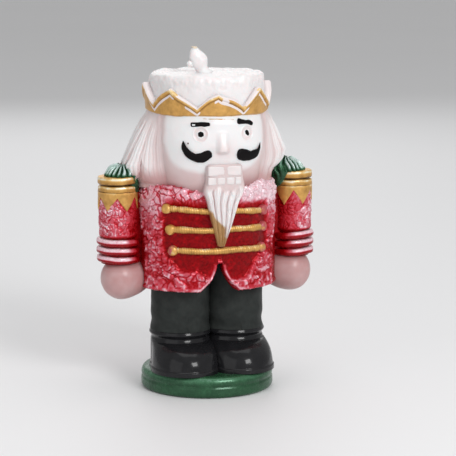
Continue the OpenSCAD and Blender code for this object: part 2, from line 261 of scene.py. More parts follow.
def make(name, points, faces, nodes, finish, fields=None):
    """A smooth-shaded piece that rides on the root body and stands for the CAD nodes."""
    slot, material = finish
    mesh = bpy.data.meshes.new(name)
    mesh.from_pydata((points * MM).tolist(), [], [list(map(int, f)) for f in faces])
    for field, values in (fields or {}).items():
        layer = mesh.attributes.new(field, "FLOAT", "POINT")
        layer.data.foreach_set("value", np.asarray(values, dtype=np.float32).ravel())
    mesh.validate()
    mesh.shade_smooth()
    mesh.materials.append(material)
    piece = put_in_scene(name, mesh)
    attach(piece, "root")
    if nodes:
        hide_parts(*nodes)


def ring_piece(name, grid, nodes, finish, fields=None):
    """A solid of rings from one end to the other, each end closed by a fan."""
    rows, cols = grid.shape[:2]
    points = np.vstack([grid.reshape(-1, 3), grid[0].mean(0), grid[-1].mean(0)])
    first, last, top = rows * cols, rows * cols + 1, (rows - 1) * cols
    faces = [*grid_faces(rows, cols, True)]
    for j in range(cols):
        k = (j + 1) % cols
        faces.append([first, k, j])
        faces.append([last, top + j, top + k])
    fields = {key: np.concatenate([np.ravel(value), [value[0].mean(), value[-1].mean()]])
              for key, value in (fields or {}).items()}
    make(name, points, faces, nodes, finish, fields)


def slab_faces(rows, cols, wrap):
    """Faces of a closed shell between two grids, the outer grid's points numbered first."""
    size, top, end = rows * cols, (rows - 1) * cols, cols - 1
    faces = [*grid_faces(rows, cols, wrap), *grid_faces(rows, cols, wrap, size, True)]
    for j in range(cols if wrap else end):
        k = (j + 1) % cols
        faces.append([k, j, size + j, size + k])
        faces.append([top + j, top + k, size + top + k, size + top + j])
    if not wrap:
        for a in range(0, top, cols):
            b = a + cols
            faces.append([a, b, size + b, size + a])
            faces.append([b + end, a + end, size + a + end, size + b + end])
    return np.array(faces)


def slab_piece(name, outer, inner, wrap, nodes, finish, fields=None, inner_fields=None):
    """A closed shell between two grids of the same shape."""
    points = np.vstack([outer.reshape(-1, 3), inner.reshape(-1, 3)])
    both = {}
    for key, value in (fields or {}).items():
        back = (inner_fields or {}).get(key, value)
        both[key] = np.concatenate([np.ravel(value), np.ravel(np.broadcast_to(back, value.shape))])
    make(name, points, slab_faces(*outer.shape[:2], wrap), nodes, finish, both)


def spaced(*stretches):
    """Numbers along several stretches, each (from, to, step), without the last end."""
    return np.concatenate([np.arange(a, b, step) for a, b, step in stretches])


def curve(points, count):
    """`count` points on a smooth open curve through a short list."""
    p = np.array(points, float)
    p = np.vstack([2 * p[0] - p[1], p, 2 * p[-1] - p[-2]])
    t = np.linspace(0, len(p) - 3 - 1e-6, count)
    i = t.astype(int)
    f = (t - i)[:, None]
    a, b, c, d = p[i], p[i + 1], p[i + 2], p[i + 3]
    return 0.5 * (2 * b + (c - a) * f + (2 * a - 5 * b + 4 * c - d) * f ** 2
                  + (3 * b - a - 3 * c + d) * f ** 3)


def facing_out(outer, inner):
    """Both grids, mirrored if needed so that the outer one faces the front."""
    if normals(outer, False)[..., 1].mean() > 0:
        return outer[:, ::-1], inner[:, ::-1]
    return outer, inner


# ---- materials ----

class Finish:
    """A Principled material with a few short ways to build its nodes."""

    def __init__(self, name, roughness=0.4, **sockets):
        self.material = bpy.data.materials.new(name)
        self.material.use_nodes = True
        self.nodes = self.material.node_tree.nodes
        self.links = self.material.node_tree.links
        self.shader = self.nodes["Principled BSDF"]
        self.shader.inputs["Roughness"].default_value = roughness
        for key, value in sockets.items():
            self.shader.inputs[key.replace("_", " ")].default_value = value

    def node(self, kind, **settings):
        n = self.nodes.new(kind)
        for key, value in settings.items():
            setattr(n, key, value)
        return n

    def field(self, name):
        return self.node("ShaderNodeAttribute", attribute_name=name).outputs["Fac"]

    def grain(self, size, detail=3.0):
        """Noise with lumps of `size` millimetres."""
        n = self.node("ShaderNodeTexNoise")
        n.inputs["Scale"].default_value = 1 / (size * MM)
        n.inputs["Detail"].default_value = detail
        n.inputs["Roughness"].default_value = 0.55
        self.links.new(self.node("ShaderNodeTexCoord").outputs["Object"], n.inputs["Vector"])
        return n.outputs["Fac"]

    def steps(self, value, stops):
        n = self.node("ShaderNodeValToRGB")
        band = n.color_ramp
        while len(band.elements) < len(stops):
            band.elements.new(0.5)
        for element, (position, colour) in zip(band.elements, stops):
            element.position = position
            element.color = (*colour, 1)
        self.links.new(value, n.inputs["Fac"])
        return n.outputs["Color"]

    def math(self, kind, a, b, clamp=False):
        n = self.node("ShaderNodeMath", operation=kind, use_clamp=clamp)
        for socket, value in zip(n.inputs, (a, b)):
            if isinstance(value, (int, float)):
                socket.default_value = value
            else:
                self.links.new(value, socket)
        return n.outputs[0]

    def mix(self, amount, a, b):
        n = self.node("ShaderNodeMix", data_type="RGBA")
        for socket, value in zip((n.inputs[0], n.inputs[6], n.inputs[7]), (amount, a, b)):
            if isinstance(value, (tuple, float)):
                socket.default_value = (*value, 1) if isinstance(value, tuple) else value
            else:
                self.links.new(value, socket)
        return n.outputs[2]

    def span(self, value, low_end, high_end):
        n = self.node("ShaderNodeMapRange")
        n.inputs["To Min"].default_value = low_end
        n.inputs["To Max"].default_value = high_end
        self.links.new(value, n.inputs["Value"])
        return n.outputs["Result"]

    def set(self, socket, value):
        self.links.new(value, self.shader.inputs[socket])

    def relief(self, height, depth):
        n = self.node("ShaderNodeBump")
        n.inputs["Strength"].default_value = 0.5
        n.inputs["Distance"].default_value = depth * MM
        self.links.new(height, n.inputs["Height"])
        self.set("Normal", n.outputs["Normal"])


RED_STOPS = [(0.0, (0.12, 0.001, 0.001)), (0.20, (0.35, 0.002, 0.005)), (0.42, (0.52, 0.036, 0.055)),
             (0.66, (0.59, 0.13, 0.17)), (0.84, (0.72, 0.36, 0.42)), (1.0, (0.86, 0.69, 0.74))]
GREEN_STOPS = [(0.0, (0.006, 0.022, 0.010)), (0.35, (0.022, 0.080, 0.035)), (0.6, (0.06, 0.17, 0.09)),
               (0.8, (0.28, 0.42, 0.37)), (1.0, (0.60, 0.70, 0.68))]
GOLD_STOPS = [(0.0, (0.16, 0.08, 0.02)), (0.35, (0.46, 0.24, 0.055)), (0.7, (0.70, 0.385, 0.10)),
              (0.88, (0.82, 0.62, 0.30)), (1.0, (0.95, 0.86, 0.66))]
GOLD_STAIN = (0.46, 0.27, 0.11)
WAX_WHITE = (0.79, 0.715, 0.71)
WAX_PINK = (0.52, 0.30, 0.295)
PAINT_WHITE = (0.82, 0.805, 0.81)
RED_ON_WAX = (0.20, 0.030, 0.030)
BARE_RED = (0.42, 0.07, 0.08)


def wax_finish(name, weight=0.35, gilded=False):
    """Translucent wax. Fields: the pink field makes it pink, and also carries painted shade; the red field
    turns it coat red, as real red where the hands run into the red webs and as a painted red reflection of
    the coat on the neck; white is opaque paint, and on hair and beard ridges a painted highlight.

    A gilded wax has the field gilt too, where gold paint strayed over it.
    """
    f = Finish(name, Subsurface_Weight=weight, Subsurface_Scale=0.002, Coat_Weight=0.12, Coat_Roughness=0.25)
    f.shader.inputs["Subsurface Radius"].default_value = (1.0, 0.55, 0.5)
    pink = f.math("ADD", f.field("pink_and_shade"), f.span(f.grain(5), -0.14, 0.14), True)
    bare = f.mix(f.field("red_paint_and_reflection"), f.mix(pink, WAX_WHITE, WAX_PINK), RED_ON_WAX)
    painted_wax = f.mix(f.field("white"), bare, PAINT_WHITE)
    f.set("Base Color", f.mix(f.field("gilt"), painted_wax, GOLD_STAIN) if gilded else painted_wax)
    f.set("Roughness", f.span(f.grain(1.6), 0.30, 0.46))
    f.relief(f.grain(0.7), 0.05)
    return f.material


def pearl_finish(name, stops, tint):
    """Pearly paint: the field tone runs from the grooves to the rubbed high spots, and also carries painted
    glints, highlights and shade.
    """
    f = Finish(name, Coat_Weight=0.06, Coat_Roughness=0.08, Metallic=0.15, Specular_IOR_Level=0.45,
               Specular_Tint=tint)
    tone = f.math("ADD", f.field("tone"), f.span(f.grain(0.7), -0.16, 0.16), True)
    f.set("Base Color", f.steps(tone, stops))
    f.set("Roughness", f.span(f.grain(1.2), 0.18, 0.36))
    f.relief(f.grain(0.4), 0.04)
    return f.material


def gold_finish(name, under):
    """Satin gold paint. The field bare shows the colour under it; tone lightens the high spots and upper
    sides as painted highlight, and darkens it under ridges and rings as painted shade.
    """
    f = Finish(name, Coat_Weight=0.15, Coat_Roughness=0.3)
    streak = f.math("ADD", f.field("tone"), f.span(f.grain(1.4, 4), -0.3, 0.3), True)
    worn = f.math("ADD", f.field("bare"), f.span(f.grain(0.5, 2), -0.2, 0.2), True)
    edge = f.steps(worn, [(0.42, (0, 0, 0)), (0.58, (1, 1, 1))])
    f.set("Base Color", f.mix(edge, f.steps(streak, GOLD_STOPS), under))
    f.set("Metallic", f.math("MULTIPLY", f.math("SUBTRACT", 1.0, edge, True), 0.45))
    f.set("Roughness", f.span(f.grain(0.8), 0.30, 0.5))
    f.relief(f.grain(0.5), 0.05)
    return f.material


def dark_finish(name, colour, lift, roughness, gloss=0.0):
    f = Finish(name, Coat_Weight=gloss, Coat_Roughness=0.12, Specular_IOR_Level=0.06)
    f.set("Base Color", f.mix(f.grain(2.5), colour, lift))
    f.set("Roughness", f.span(f.grain(1.0), roughness - 0.08, roughness + 0.1))
    f.relief(f.grain(0.6), 0.04)
    return f.material


def cotton_finish():
    f = Finish("wick_cotton", Sheen_Weight=0.3)
    f.set("Base Color", f.mix(f.grain(0.3), (0.62, 0.48, 0.32), (0.85, 0.78, 0.66)))
    f.set("Roughness", f.span(f.grain(0.3), 0.7, 0.9))
    f.relief(f.grain(0.2), 0.05)
    return f.material


# A finish is a slot name, which make() does not use, and a material.
BARE_WAX = "bare_wax", wax_finish("bare_wax")
CHIP = "white_paint", BARE_WAX[1]
HAIR_WAX = "white_wax", wax_finish("white_wax", 0.25)
BEARD_WAX = "white_wax", wax_finish("beard_wax", 0.25, True)
RED = "pearl_red", pearl_finish("pearl_red", RED_STOPS, (1.0, 0.16, 0.20, 1))
CUFF_PEARL = "pearl_cuff", pearl_finish("pearl_cuff", RED_STOPS, (1.0, 0.50, 0.55, 1))
GREEN = "pearl_green", pearl_finish("pearl_green", GREEN_STOPS, (0.7, 1.0, 0.85, 1))
GOLD = "gold_paint", gold_finish("gold_paint", WAX_WHITE)
BRAID_GOLD = "gold_paint", gold_finish("braid_gold", BARE_RED)
BLACK = "black_paint", dark_finish("black_paint", (0.005, 0.004, 0.005), (0.010, 0.009, 0.009), 0.42)
TROUSERS = "dark_trousers", dark_finish("dark_trousers", (0.014, 0.016, 0.016), (0.045, 0.050, 0.047), 0.4)
BOOTS = "boot_black", dark_finish("boot_black", (0.006, 0.006, 0.007), (0.018, 0.018, 0.020), 0.24, 0.4)
COTTON = "wick_cotton", cotton_finish()


# ---- head ----

def head_at(z):
    """The head's half-width at height z, a barrel widest at the eyes."""
    return HEAD_R - 0.014 * (z - EYE_LEVEL) ** 2


def eye_distance(x, z, eye):
    """Distance from the middle of a slightly narrow eye ring."""
    return np.hypot((x - eye[0]) / 0.93, z - eye[2])


def face_relief(x, z):
    """Height off the head's barrel shape: nose, eye rims, cheeks and brow."""
    bottom, top = NOSE_LOW[2] + 0.2, NOSE_HIGH[2] + 0.6
    along = share((top - z) / (top - bottom))
    half = NOSE_HIGH[0] - 0.45 + 0.25 * along
    nose = ramp(half + 1.2, half - 0.5, np.abs(x + 0.4)) * (-NOSE_LOW[1] - HEAD_R - 0.5) * along ** 0.8
    nose = nose * ramp(bottom - 0.9, bottom + 0.6, z) * ramp(top, top - 1.2, z)
    from_eyes = [eye_distance(x, z, eye) for eye in EYES]
    rims = sum(0.15 * bump(d, 2.05, 0.22) - 0.14 * bump(d, 1.5, 0.35) for d in from_eyes)
    cheeks = sum(0.35 * bump(x, s * HEAD_R / 2, 4) * bump(z, bottom + 0.6, 3.5) for s in (-1, 1))
    return nose + rims + cheeks + 0.2 * bump(z, BROW_LEVEL, 0.9) * ramp(11, 8, np.abs(x))


def on_head(x, z, lift=0.0):
    """A point on the front of the head at width x and height z."""
    r = head_at(z) + face_relief(x, z) + lift
    a = np.arcsin(np.clip(x / r, -0.999, 0.999))
    return at(r * np.sin(a), -r * np.cos(a), z)


def build_head():
    angle = spaced((-75, 75, 0.35), (75, 285, 1.5))[None, :]
    z = spaced((SHOULDER - 0.4, CROWN_LOW + 0.3, 0.2))[:, None]
    r = head_at(z)
    x = r * sin_deg(angle)
    front = cos_deg(angle) > 0.25
    p = around(angle, r, z)
    p = swell(p, np.where(front, face_relief(x, z), 0) + 0.10 * fbm(p, 5, 11))
    turn = signed(angle)
    reach = np.abs((turn + 6) / 52) ** 3.2 + (np.clip(EYES[0][2] + 0.6 - z, 0, 20) / 11.3) ** 3
    white = ramp(1.25, 0.78, reach + 0.06 * fbm(p, 3, 21))
    for eye in EYES:
        d = eye_distance(p[..., 0], p[..., 2], eye)
        white = white * (1 - 0.62 * ramp(2.1, 1.9, d) * ramp(0.9, 1.15, d) * front)
    side, left_jaw = ramp(38, 62, np.abs(turn + 4)), ramp(8, 24, turn)
    # painted shade: pinker at the sides of the face and down the neck towards the coat, more on the figure's
    # left
    pink_and_shade = 0.26 + (0.42 + 0.28 * left_jaw) * ramp(JAW_TOP + 1, SHOULDER + 1, z) + 0.22 * side
    # thinner white paint on the lower nose, and painted shade below the nose
    thin_paint_and_nose_shade = bump(p[..., 0], -0.3, 3.6) * bump(p[..., 2], NOSE_LOW[2] + 0.4, 3.2) * front
    white = white * (1 - 0.75 * thin_paint_and_nose_shade * (0.8 + 0.4 * noise(p, 1.6, 23)))
    # painted reflection: the neck turns coat red just above the coat, as the coat's red light on it
    red_reflection = ramp(SHOULDER + 3.6 + 2.0 * left_jaw, SHOULDER + 0.4, z + 0.6 * noise(p, 4, 25))
    red_paint_and_reflection = (0.42 + 0.16 * left_jaw) * red_reflection
    ring_piece("head_and_face", p, ["head", "face", "nose", "right_eye_ring", "left_eye_ring"], BARE_WAX,
               {"white": white, "pink_and_shade": pink_and_shade, "red_paint_and_reflection": red_paint_and_reflection})


# Strokes of black paint on the face, in the boxes of their nodes: thickness in millimetres, points as shares
# of the box's width and height, and the half-width at each point as a share of the box's height.
STROKES = {
    "right_eyebrow": (0.32, [[-0.05, 0.44], [0.45, 0.52], [0.98, 0.56]], [0.54, 0.50, 0.46]),
    "left_eyebrow": (0.32, [[0.0, 0.76], [0.21, 0.60], [0.52, 0.50], [0.75, 0.43], [0.98, 0.16]],
                     [0.36, 0.36, 0.25, 0.30, 0.24]),
    "right_moustache": (0.75, [[0.99, 0.38], [0.85, 0.35], [0.67, 0.23], [0.44, 0.23], [0.23, 0.40],
                               [0.09, 0.68], [0.06, 1.0]], [0.18, 0.225, 0.24, 0.19, 0.165, 0.11, 0.02]),
    "left_moustache": (0.75, [[0.01, 0.43], [0.13, 0.43], [0.33, 0.37], [0.55, 0.30], [0.75, 0.39],
                              [0.90, 0.65], [0.98, 1.03]], [0.24, 0.33, 0.36, 0.29, 0.27, 0.11, 0.026]),
    "right_pupil": (0.2, [[0.05, 0.47], [0.5, 0.5], [0.98, 0.53]], [0.28, 0.46, 0.28]),
    "left_pupil": (0.2, [[0.24, 0.94], [0.5, 0.55], [0.80, 0.11]], [0.19, 0.33, 0.19]),
}


def painted(name, place, stroke, nodes, finish=BLACK, fields=None):
    """A stroke of thick paint on the face, in the box of the node `place`."""
    thick, shares, halves = stroke
    count, across = 60, 15
    tall = high(place)[2] - low(place)[2]
    line = curve(in_box(place, shares), count)
    half = curve([[h * tall, 0] for h in halves], count)[:, 0] * rounded(np.linspace(-1, 1, count), 14)
    half = np.maximum(half, 0.02)[:, None]
    along = np.gradient(line, axis=0)
    along /= np.linalg.norm(along, axis=1, keepdims=True)
    t = np.linspace(-1, 1, across)[None, :]
    x = line[:, :1] - along[:, 1:] * half * t
    z = line[:, 1:] + along[:, :1] * half * t
    z = z + 0.10 * noise(at(x, z, 0), 0.9, 5) * share(half / 0.5)
    dome = thick * rounded(t, 3.2) * share(half / 0.4)
    fields = {key: np.full(x.shape, value) for key, value in (fields or {}).items()}
    slab_piece(name, *facing_out(on_head(x, z, dome), on_head(x, z, -0.25)), False, nodes, finish, fields)


def build_features():
    for node, stroke in STROKES.items():
        painted(f"{node}_paint", node, stroke, [node])
        if node == "right_eyebrow":
            painted("right_eyebrow_chip", node, (0.62, [[0.01, 0.42], [0.17, 0.43]], [0.24, 0.22]), [],
                    CHIP, {"white": 1.0, "pink_and_shade": 0.0})
    painted("stray_paint_dot", "right_moustache", (0.12, [[0.19, 0.885], [0.225, 0.875]], [0.04, 0.04]), [])


def build_gold_line():
    """A thin stray line of gold on the forehead, under the crown."""
    count = 90
    turn = np.linspace(-19, 10, count)[:, None]
    t = np.linspace(-1, 1, 7)[None, :]
    x = HEAD_R * sin_deg(turn) + 0 * t
    half = 0.13 * rounded(np.linspace(-1, 1, count)[:, None], 8) + 0.01
    z = CROWN_LOW - 0.95 + half * t - 0.012 * turn + 0.08 * noise(at(x, 0, 0), 2, 9)
    outer, inner = facing_out(on_head(x, z, 0.10 * np.sqrt(1 - t ** 2 * 0.98)), on_head(x, z, -0.2))
    slab_piece("stray_gold_line", outer, inner, False, [], GOLD,
               {"tone": 0.40 + 0 * x, "bare": 0.46 + 0.25 * noise(outer, 1.2, 8)})


# ---- hair ----

HAIR_EDGE = {-1: 63.0, 1: 51.0}  # degrees from the front where the hair starts, for each side
LOCK = 7.5  # degrees from lock to lock


def hair_radius(turn, t):
    """The mane flares out at the sides and hangs closer at the back; t runs from the crown down."""
    flank = sin_deg(np.abs(turn)) ** 2
    flare, widest = np.where(turn < 0, 10.4, 9.6), np.where(turn < 0, 0.70, 0.53)
    start = CROWN_R - 0.6
    at_side = start + flare * np.minimum(t, widest) ** 0.84 - 60 * np.clip(t - widest, 0, 0.25) ** 2
    at_back = start + 3.4 * np.sin(np.pi * 0.62 * t) - 6 * share(t - 0.86)
    return at_back + (at_side - at_back) * flank ** 1.3


def strands(turn, t, p):
    """Pointed locks that sweep down and outward, with fine hair in them: height, phase and number."""
    sweep = np.where(turn < 0, -1, 1) * 6.0 * t ** 1.3 * np.clip((np.abs(turn) - 50) / 40, -1, 1)
    drift = turn - sweep + 2.0 * noise(p, 8, 31)
    lock = (drift / LOCK) % 1
    wide = 1 - np.abs(2 * lock - 1) ** 2.2
    fine = np.abs(np.sin(np.pi * (drift / 2.1 + 0.30 * noise(p, 2.5, 35))))
    finer = np.abs(np.sin(np.pi * (drift / 1.15 + 0.35 * noise(p, 2.0, 36))))
    depth = ramp(0.05, 0.26, t + 0.10 * noise(p, 2.0, 38))
    cut = 0.36 * fine ** 0.7 * (0.75 + 0.35 * noise(p, 4, 37)) + 0.10 * finer
    return depth * (0.40 * wide + cut - 0.42), lock, np.floor(drift / LOCK)


def build_hair(name, start, end, nodes):
    turn_full = np.arange(start, end + 0.01, 0.28)[None, :]
    turn = signed(turn_full)
    edge = np.where(turn < 0, HAIR_EDGE[-1], HAIR_EDGE[1])
    t = np.linspace(1, 0, 150)[:, None]
    top, bottom = CROWN_LOW + 0.35, SHOULDER + 0.9
    z = top + (bottom - top) * t
    base = head_at(z)
    away = ramp(edge - 3, edge + 24, np.abs(turn))
    r = base + (hair_radius(turn, t) - base) * away
    rim = ramp(edge - 3, edge + 5, np.abs(turn))
    r = np.maximum(r, base - 0.25 + 0.55 * rim)
    p = around(turn_full, r, z)
    height, lock, tag = strands(turn, t, p)
    flank = sin_deg(np.abs(turn)) ** 8
    tip = np.abs(2 * lock - 1) ** 1.4 * 2.8 + (0.6 + 1.6 * flank) * (1 + np.sin(tag * 2.4)) + 2.2 * flank
    cleft = ramp(tip + 0.1, tip - 0.9, z - bottom - 1.1 * (1 - away))
    cleft = cleft * ramp(edge + 4, edge + 14, np.abs(turn))
    cut = np.clip(r - COAT_R - 0.3, 0.35, 2.6)
    front = ramp(112, 88, np.abs(turn))
    height = height * (1 - front * ramp(SHOULDER + 7, SHOULDER + 3, z) * 0.85) * (0.15 + 0.85 * away)
    p = swell(p, height * rim + 0.06 * fbm(p, 3, 41) - cut * cleft * away, False)
    inner = around(turn_full, base - 1.0, z)
    shade = ramp(edge + 13, edge - 1, np.abs(turn))
    low_front = front * ramp(SHOULDER + 8, SHOULDER + 3, z)
    # painted shade and highlight: pinker in the grooves, the gaps between locks, by the face, low at the
    # front and near the shoulders; whiter on the ridges
    pink_and_shade = 0.34 + 0.30 * low_front - 1.25 * height + 0.34 * ramp(JAW_TOP, SHOULDER + 0.5, z)
    pink_and_shade = pink_and_shade + 0.20 * shade + 0.35 * cleft
    white = np.clip(0.30 + 2.0 * height, 0, 0.9) * (1 - 0.6 * shade) * (1 - 0.8 * low_front)
    slab_piece(name, p, inner, False, nodes, HAIR_WAX, {"pink_and_shade": share(pink_and_shade), "white": white})


# ---- crown and wick ----

CROWN_POINTS = 8
CROWN_TURN = -6


def zigzag(angle, low_z, high_z, count, turn):
    """Height of a zigzag edge: high_z at the points, low_z half-way between."""
    phase = np.abs(((angle - turn) / (360 / count) + 0.5) % 1 - 0.5) * 2
    return high_z + (low_z - high_z) * phase


def build_crown():
    angle = once_round(0.4)
    s = np.concatenate([[0, 0.004, 0.015], np.linspace(0.04, 1, 56)])[:, None]
    place = around(angle, CROWN_R, 0)
    wobble = 0.25 * noise(place, 4, 51)
    turn = signed(angle)
    slip = 3.6 * bump(turn, -26, 13) + 3.4 * bump(turn, 18, 13)
    slip = slip + 1.6 * noise(place, 11, 52) * ramp(50, 80, np.abs(turn))
    top = zigzag(angle - slip, VALLEY, CROWN_TIP, CROWN_POINTS, CROWN_TURN)
    top = top + wobble * 0.6 - 1.1 * bump(turn, -5, 7)
    top = top - 0.75 * ramp(70, 45, np.abs(turn))
    bottom = CROWN_LOW - 0.15 + 0.3 * noise(place, 6, 53)
    z = bottom + (top - bottom) * s
    below = (top - z) * 0.83
    r = CROWN_R + CROWN_FLARE * (z - CROWN_LOW) / (CROWN_TIP - CROWN_LOW)
    r = r + 0.50 * ramp(1.2, 0.85, below) * ramp(-0.05, 0.35, below) + 0.10 * bump(below, 1.5, 0.28)
    r = r - 0.5 * ramp(0.5, 0, z - bottom)
    p = around(angle, r, z)
    p = swell(p, 0.10 * fbm(p, 2.2, 55))
    inner = around(angle, CORE_R - 0.3, z)
    spots = noise(p, 4.5, 57)
    stroke = bump(below, 1.62, 0.34) * ramp(-0.35, -0.1, spots)
    rim = ramp(0.46, 0.26, below) * ramp(-0.7, 0.1, noise(p, 3, 58))
    stroke = np.maximum(stroke, 1.1 * bump(turn, 1, 3.5) * bump(below, 1.0, 0.7))
    bare = share(stroke * 1.1 + rim)
    # painted highlight on the ridge along the zigzag, and painted shade in the groove just under it
    tone = 0.55 + 0.25 * ramp(1.0, 0.5, below) - 0.35 * bump(below, 1.25, 0.2) + 0.12 * fbm(p, 2, 59)
    slab_piece("crown_ring", p, inner, True, ["crown_band", "crown_edge"], GOLD,
               {"tone": tone, "bare": bare}, {"bare": 1.0})


def lathe_rows(profile, step):
    """Rows of (radius, height) along a polyline, at most `step` apart."""
    rows = []
    for (r0, z0), (r1, z1) in zip(profile, profile[1:]):
        n = max(2, int(math.hypot(r1 - r0, z1 - z0) / step))
        rows += [(r0 + (r1 - r0) * k / n, z0 + (z1 - z0) * k / n) for k in range(n)]
    return np.array(rows + [profile[-1]])


def soften(rows, passes):
    """Rounds the corners of a profile."""
    for _ in range(passes):
        rows[1:-1] = 0.25 * rows[:-2] + 0.5 * rows[1:-1] + 0.25 * rows[2:]
    return rows


def build_crown_wax():
    angle = once_round(0.45)
    rows = soften(lathe_rows([(0.2, CROWN_LOW), (CORE_R, CROWN_LOW), (CORE_R, WAX_TOP - 1.4),
                              (CORE_R - 0.35, WAX_TOP - 0.35), (CORE_R - 1.2, WAX_TOP + 0.05),
                              (CORE_R - 5, WAX_TOP - 0.2), (0.2, WAX_TOP - 0.15)], 0.17), 4)
    r, z = rows[:, :1], rows[:, 1:]
    p = around(angle, r, z)
    rough = ramp(VALLEY + 1.5, WAX_TOP - 1.2, z)
    height = 0.42 * fbm(p, 3.4, 61) + 0.30 * np.abs(fbm(p * np.array([1, 1, 0.7]), 2.0, 65)) - 0.08
    height = height + 0.25 * bump(z, WAX_TOP - 0.6, 0.7) * noise(p, 2.2, 68)
    p = swell(p, height * (0.15 + 0.85 * rough) * ramp(0.2, 2, r))
    # painted shade: pinker in the hollows and low down inside the crown ring
    pink_and_shade = 0.08 - 0.40 * height + 0.10 * ramp(VALLEY + 3, VALLEY - 2, z)
    ring_piece("crown_wax_fill", p, ["crown_wax"], BARE_WAX,
               {"pink_and_shade": share(pink_and_shade), "white": 0.75 + 0 * pink_and_shade})


def tube(path, halves, cols, lump, seed):
    """Lumpy rings along a path; halves gives each ring's half-width across and half-depth."""
    count = 70
    path, halves = curve(path, count), curve(halves, count)
    halves = np.maximum(halves, 0.03)
    along = np.gradient(path, axis=0)
    along /= np.linalg.norm(along, axis=1, keepdims=True)
    deep = np.array([0, 1.0, 0])
    across = np.cross(deep, along)
    across /= np.linalg.norm(across, axis=1, keepdims=True)
    a = circle(cols)
    ring = (across[:, None] * (halves[:, :1] * np.cos(a))[..., None]
            + deep * (halves[:, 1:] * np.sin(a))[..., None])
    p = path[:, None] + ring
    return swell(p, lump * fbm(p, 1.5, seed))


def build_wick():
    foot = WAX_TOP - 0.8
    tip_x, tall = low("wick")[0] + 0.35, WICK_TIP - WAX_TOP
    wide, crumb_x = (high("wick_wax")[0] - low("wick_wax")[0]) / 8, low("wick_wax")[0]

    def wax_piece(name, p, nodes):
        plain = np.ones(p.shape[:2])
        ring_piece(name, p, nodes, BARE_WAX, {"pink_and_shade": 0.02 * plain, "white": 0.8 * plain})

    skin = tube([[-0.8, 0, foot], [-1.4, 0, WAX_TOP + 0.12 * tall], [-2.1, 0, WAX_TOP + 0.40 * tall],
                 [-3.1, 0, WAX_TOP + 0.68 * tall], [tip_x + 0.1, 0, WAX_TOP + 0.90 * tall],
                 [tip_x, 0, WAX_TOP + 0.98 * tall]],
                [[2.6 * wide, 2.4], [1.7 * wide, 1.6], [2.4 * wide, 1.7], [2.1 * wide, 1.5],
                 [1.1 * wide, 1.0], [0.5, 0.5]], 48, 0.18, 71)
    wax_piece("wick_wax_skin", skin, ["wick_wax"])
    crumb = tube([[-2.6, -0.2, WAX_TOP + 1.4], [-3.8, -0.2, WAX_TOP + 1.8],
                  [crumb_x - 0.1, -0.2, WAX_TOP + 2.3], [crumb_x - 0.8, -0.2, WAX_TOP + 2.5]],
                 [[0.3, 0.3], [0.4, 0.4], [1.0, 0.9], [0.3, 0.3]], 24, 0.14, 73)
    wax_piece("wick_wax_crumb", crumb, [])
    count = 160
    a = np.linspace(0, 360, 32, endpoint=False)[None, :]
    cord = curve([[0, 0, low("wick")[2] + 0.02], [0, 0, WAX_TOP * 0.6], [-0.4, 0, foot],
                  [-1.9, 0, WAX_TOP + 0.45 * tall], [tip_x - 0.05, 0, WICK_TIP + 0.2]], count)
    r = 0.78 + 0.10 * np.cos(np.radians(3 * a) + np.linspace(0, 1, count)[:, None] * 150)
    ring_piece("wick_cord", cord[:, None] + around(a, r, 0), ["wick"], COTTON)


# ---- teeth and beard ----

def beard_edges(z):
    """Left and right edge of the jaw and beard at height z."""
    t = share((TEETH_LOW - z) / (TEETH_LOW - BEARD_LOW))
    jaw = JAW_HALF + 0.35 * ramp(JAW_TOP, TEETH_LOW - 0.4, z)
    half = (jaw + 0.7 * bump(z, SHOULDER + 0.9, 2.2)) * (1 - t ** 1.2) + 0.95 * t ** 1.5
    up = share((z - (JAW_TOP - 0.9)) / 0.9)
    corner = 0.9 * (1 - rounded(up, 2))
    mid = 0.15 - 0.25 * t
    tuck = 0.6 * bump(z, TEETH_LOW, 3.0)
    return mid - half + corner + tuck, mid + half - corner


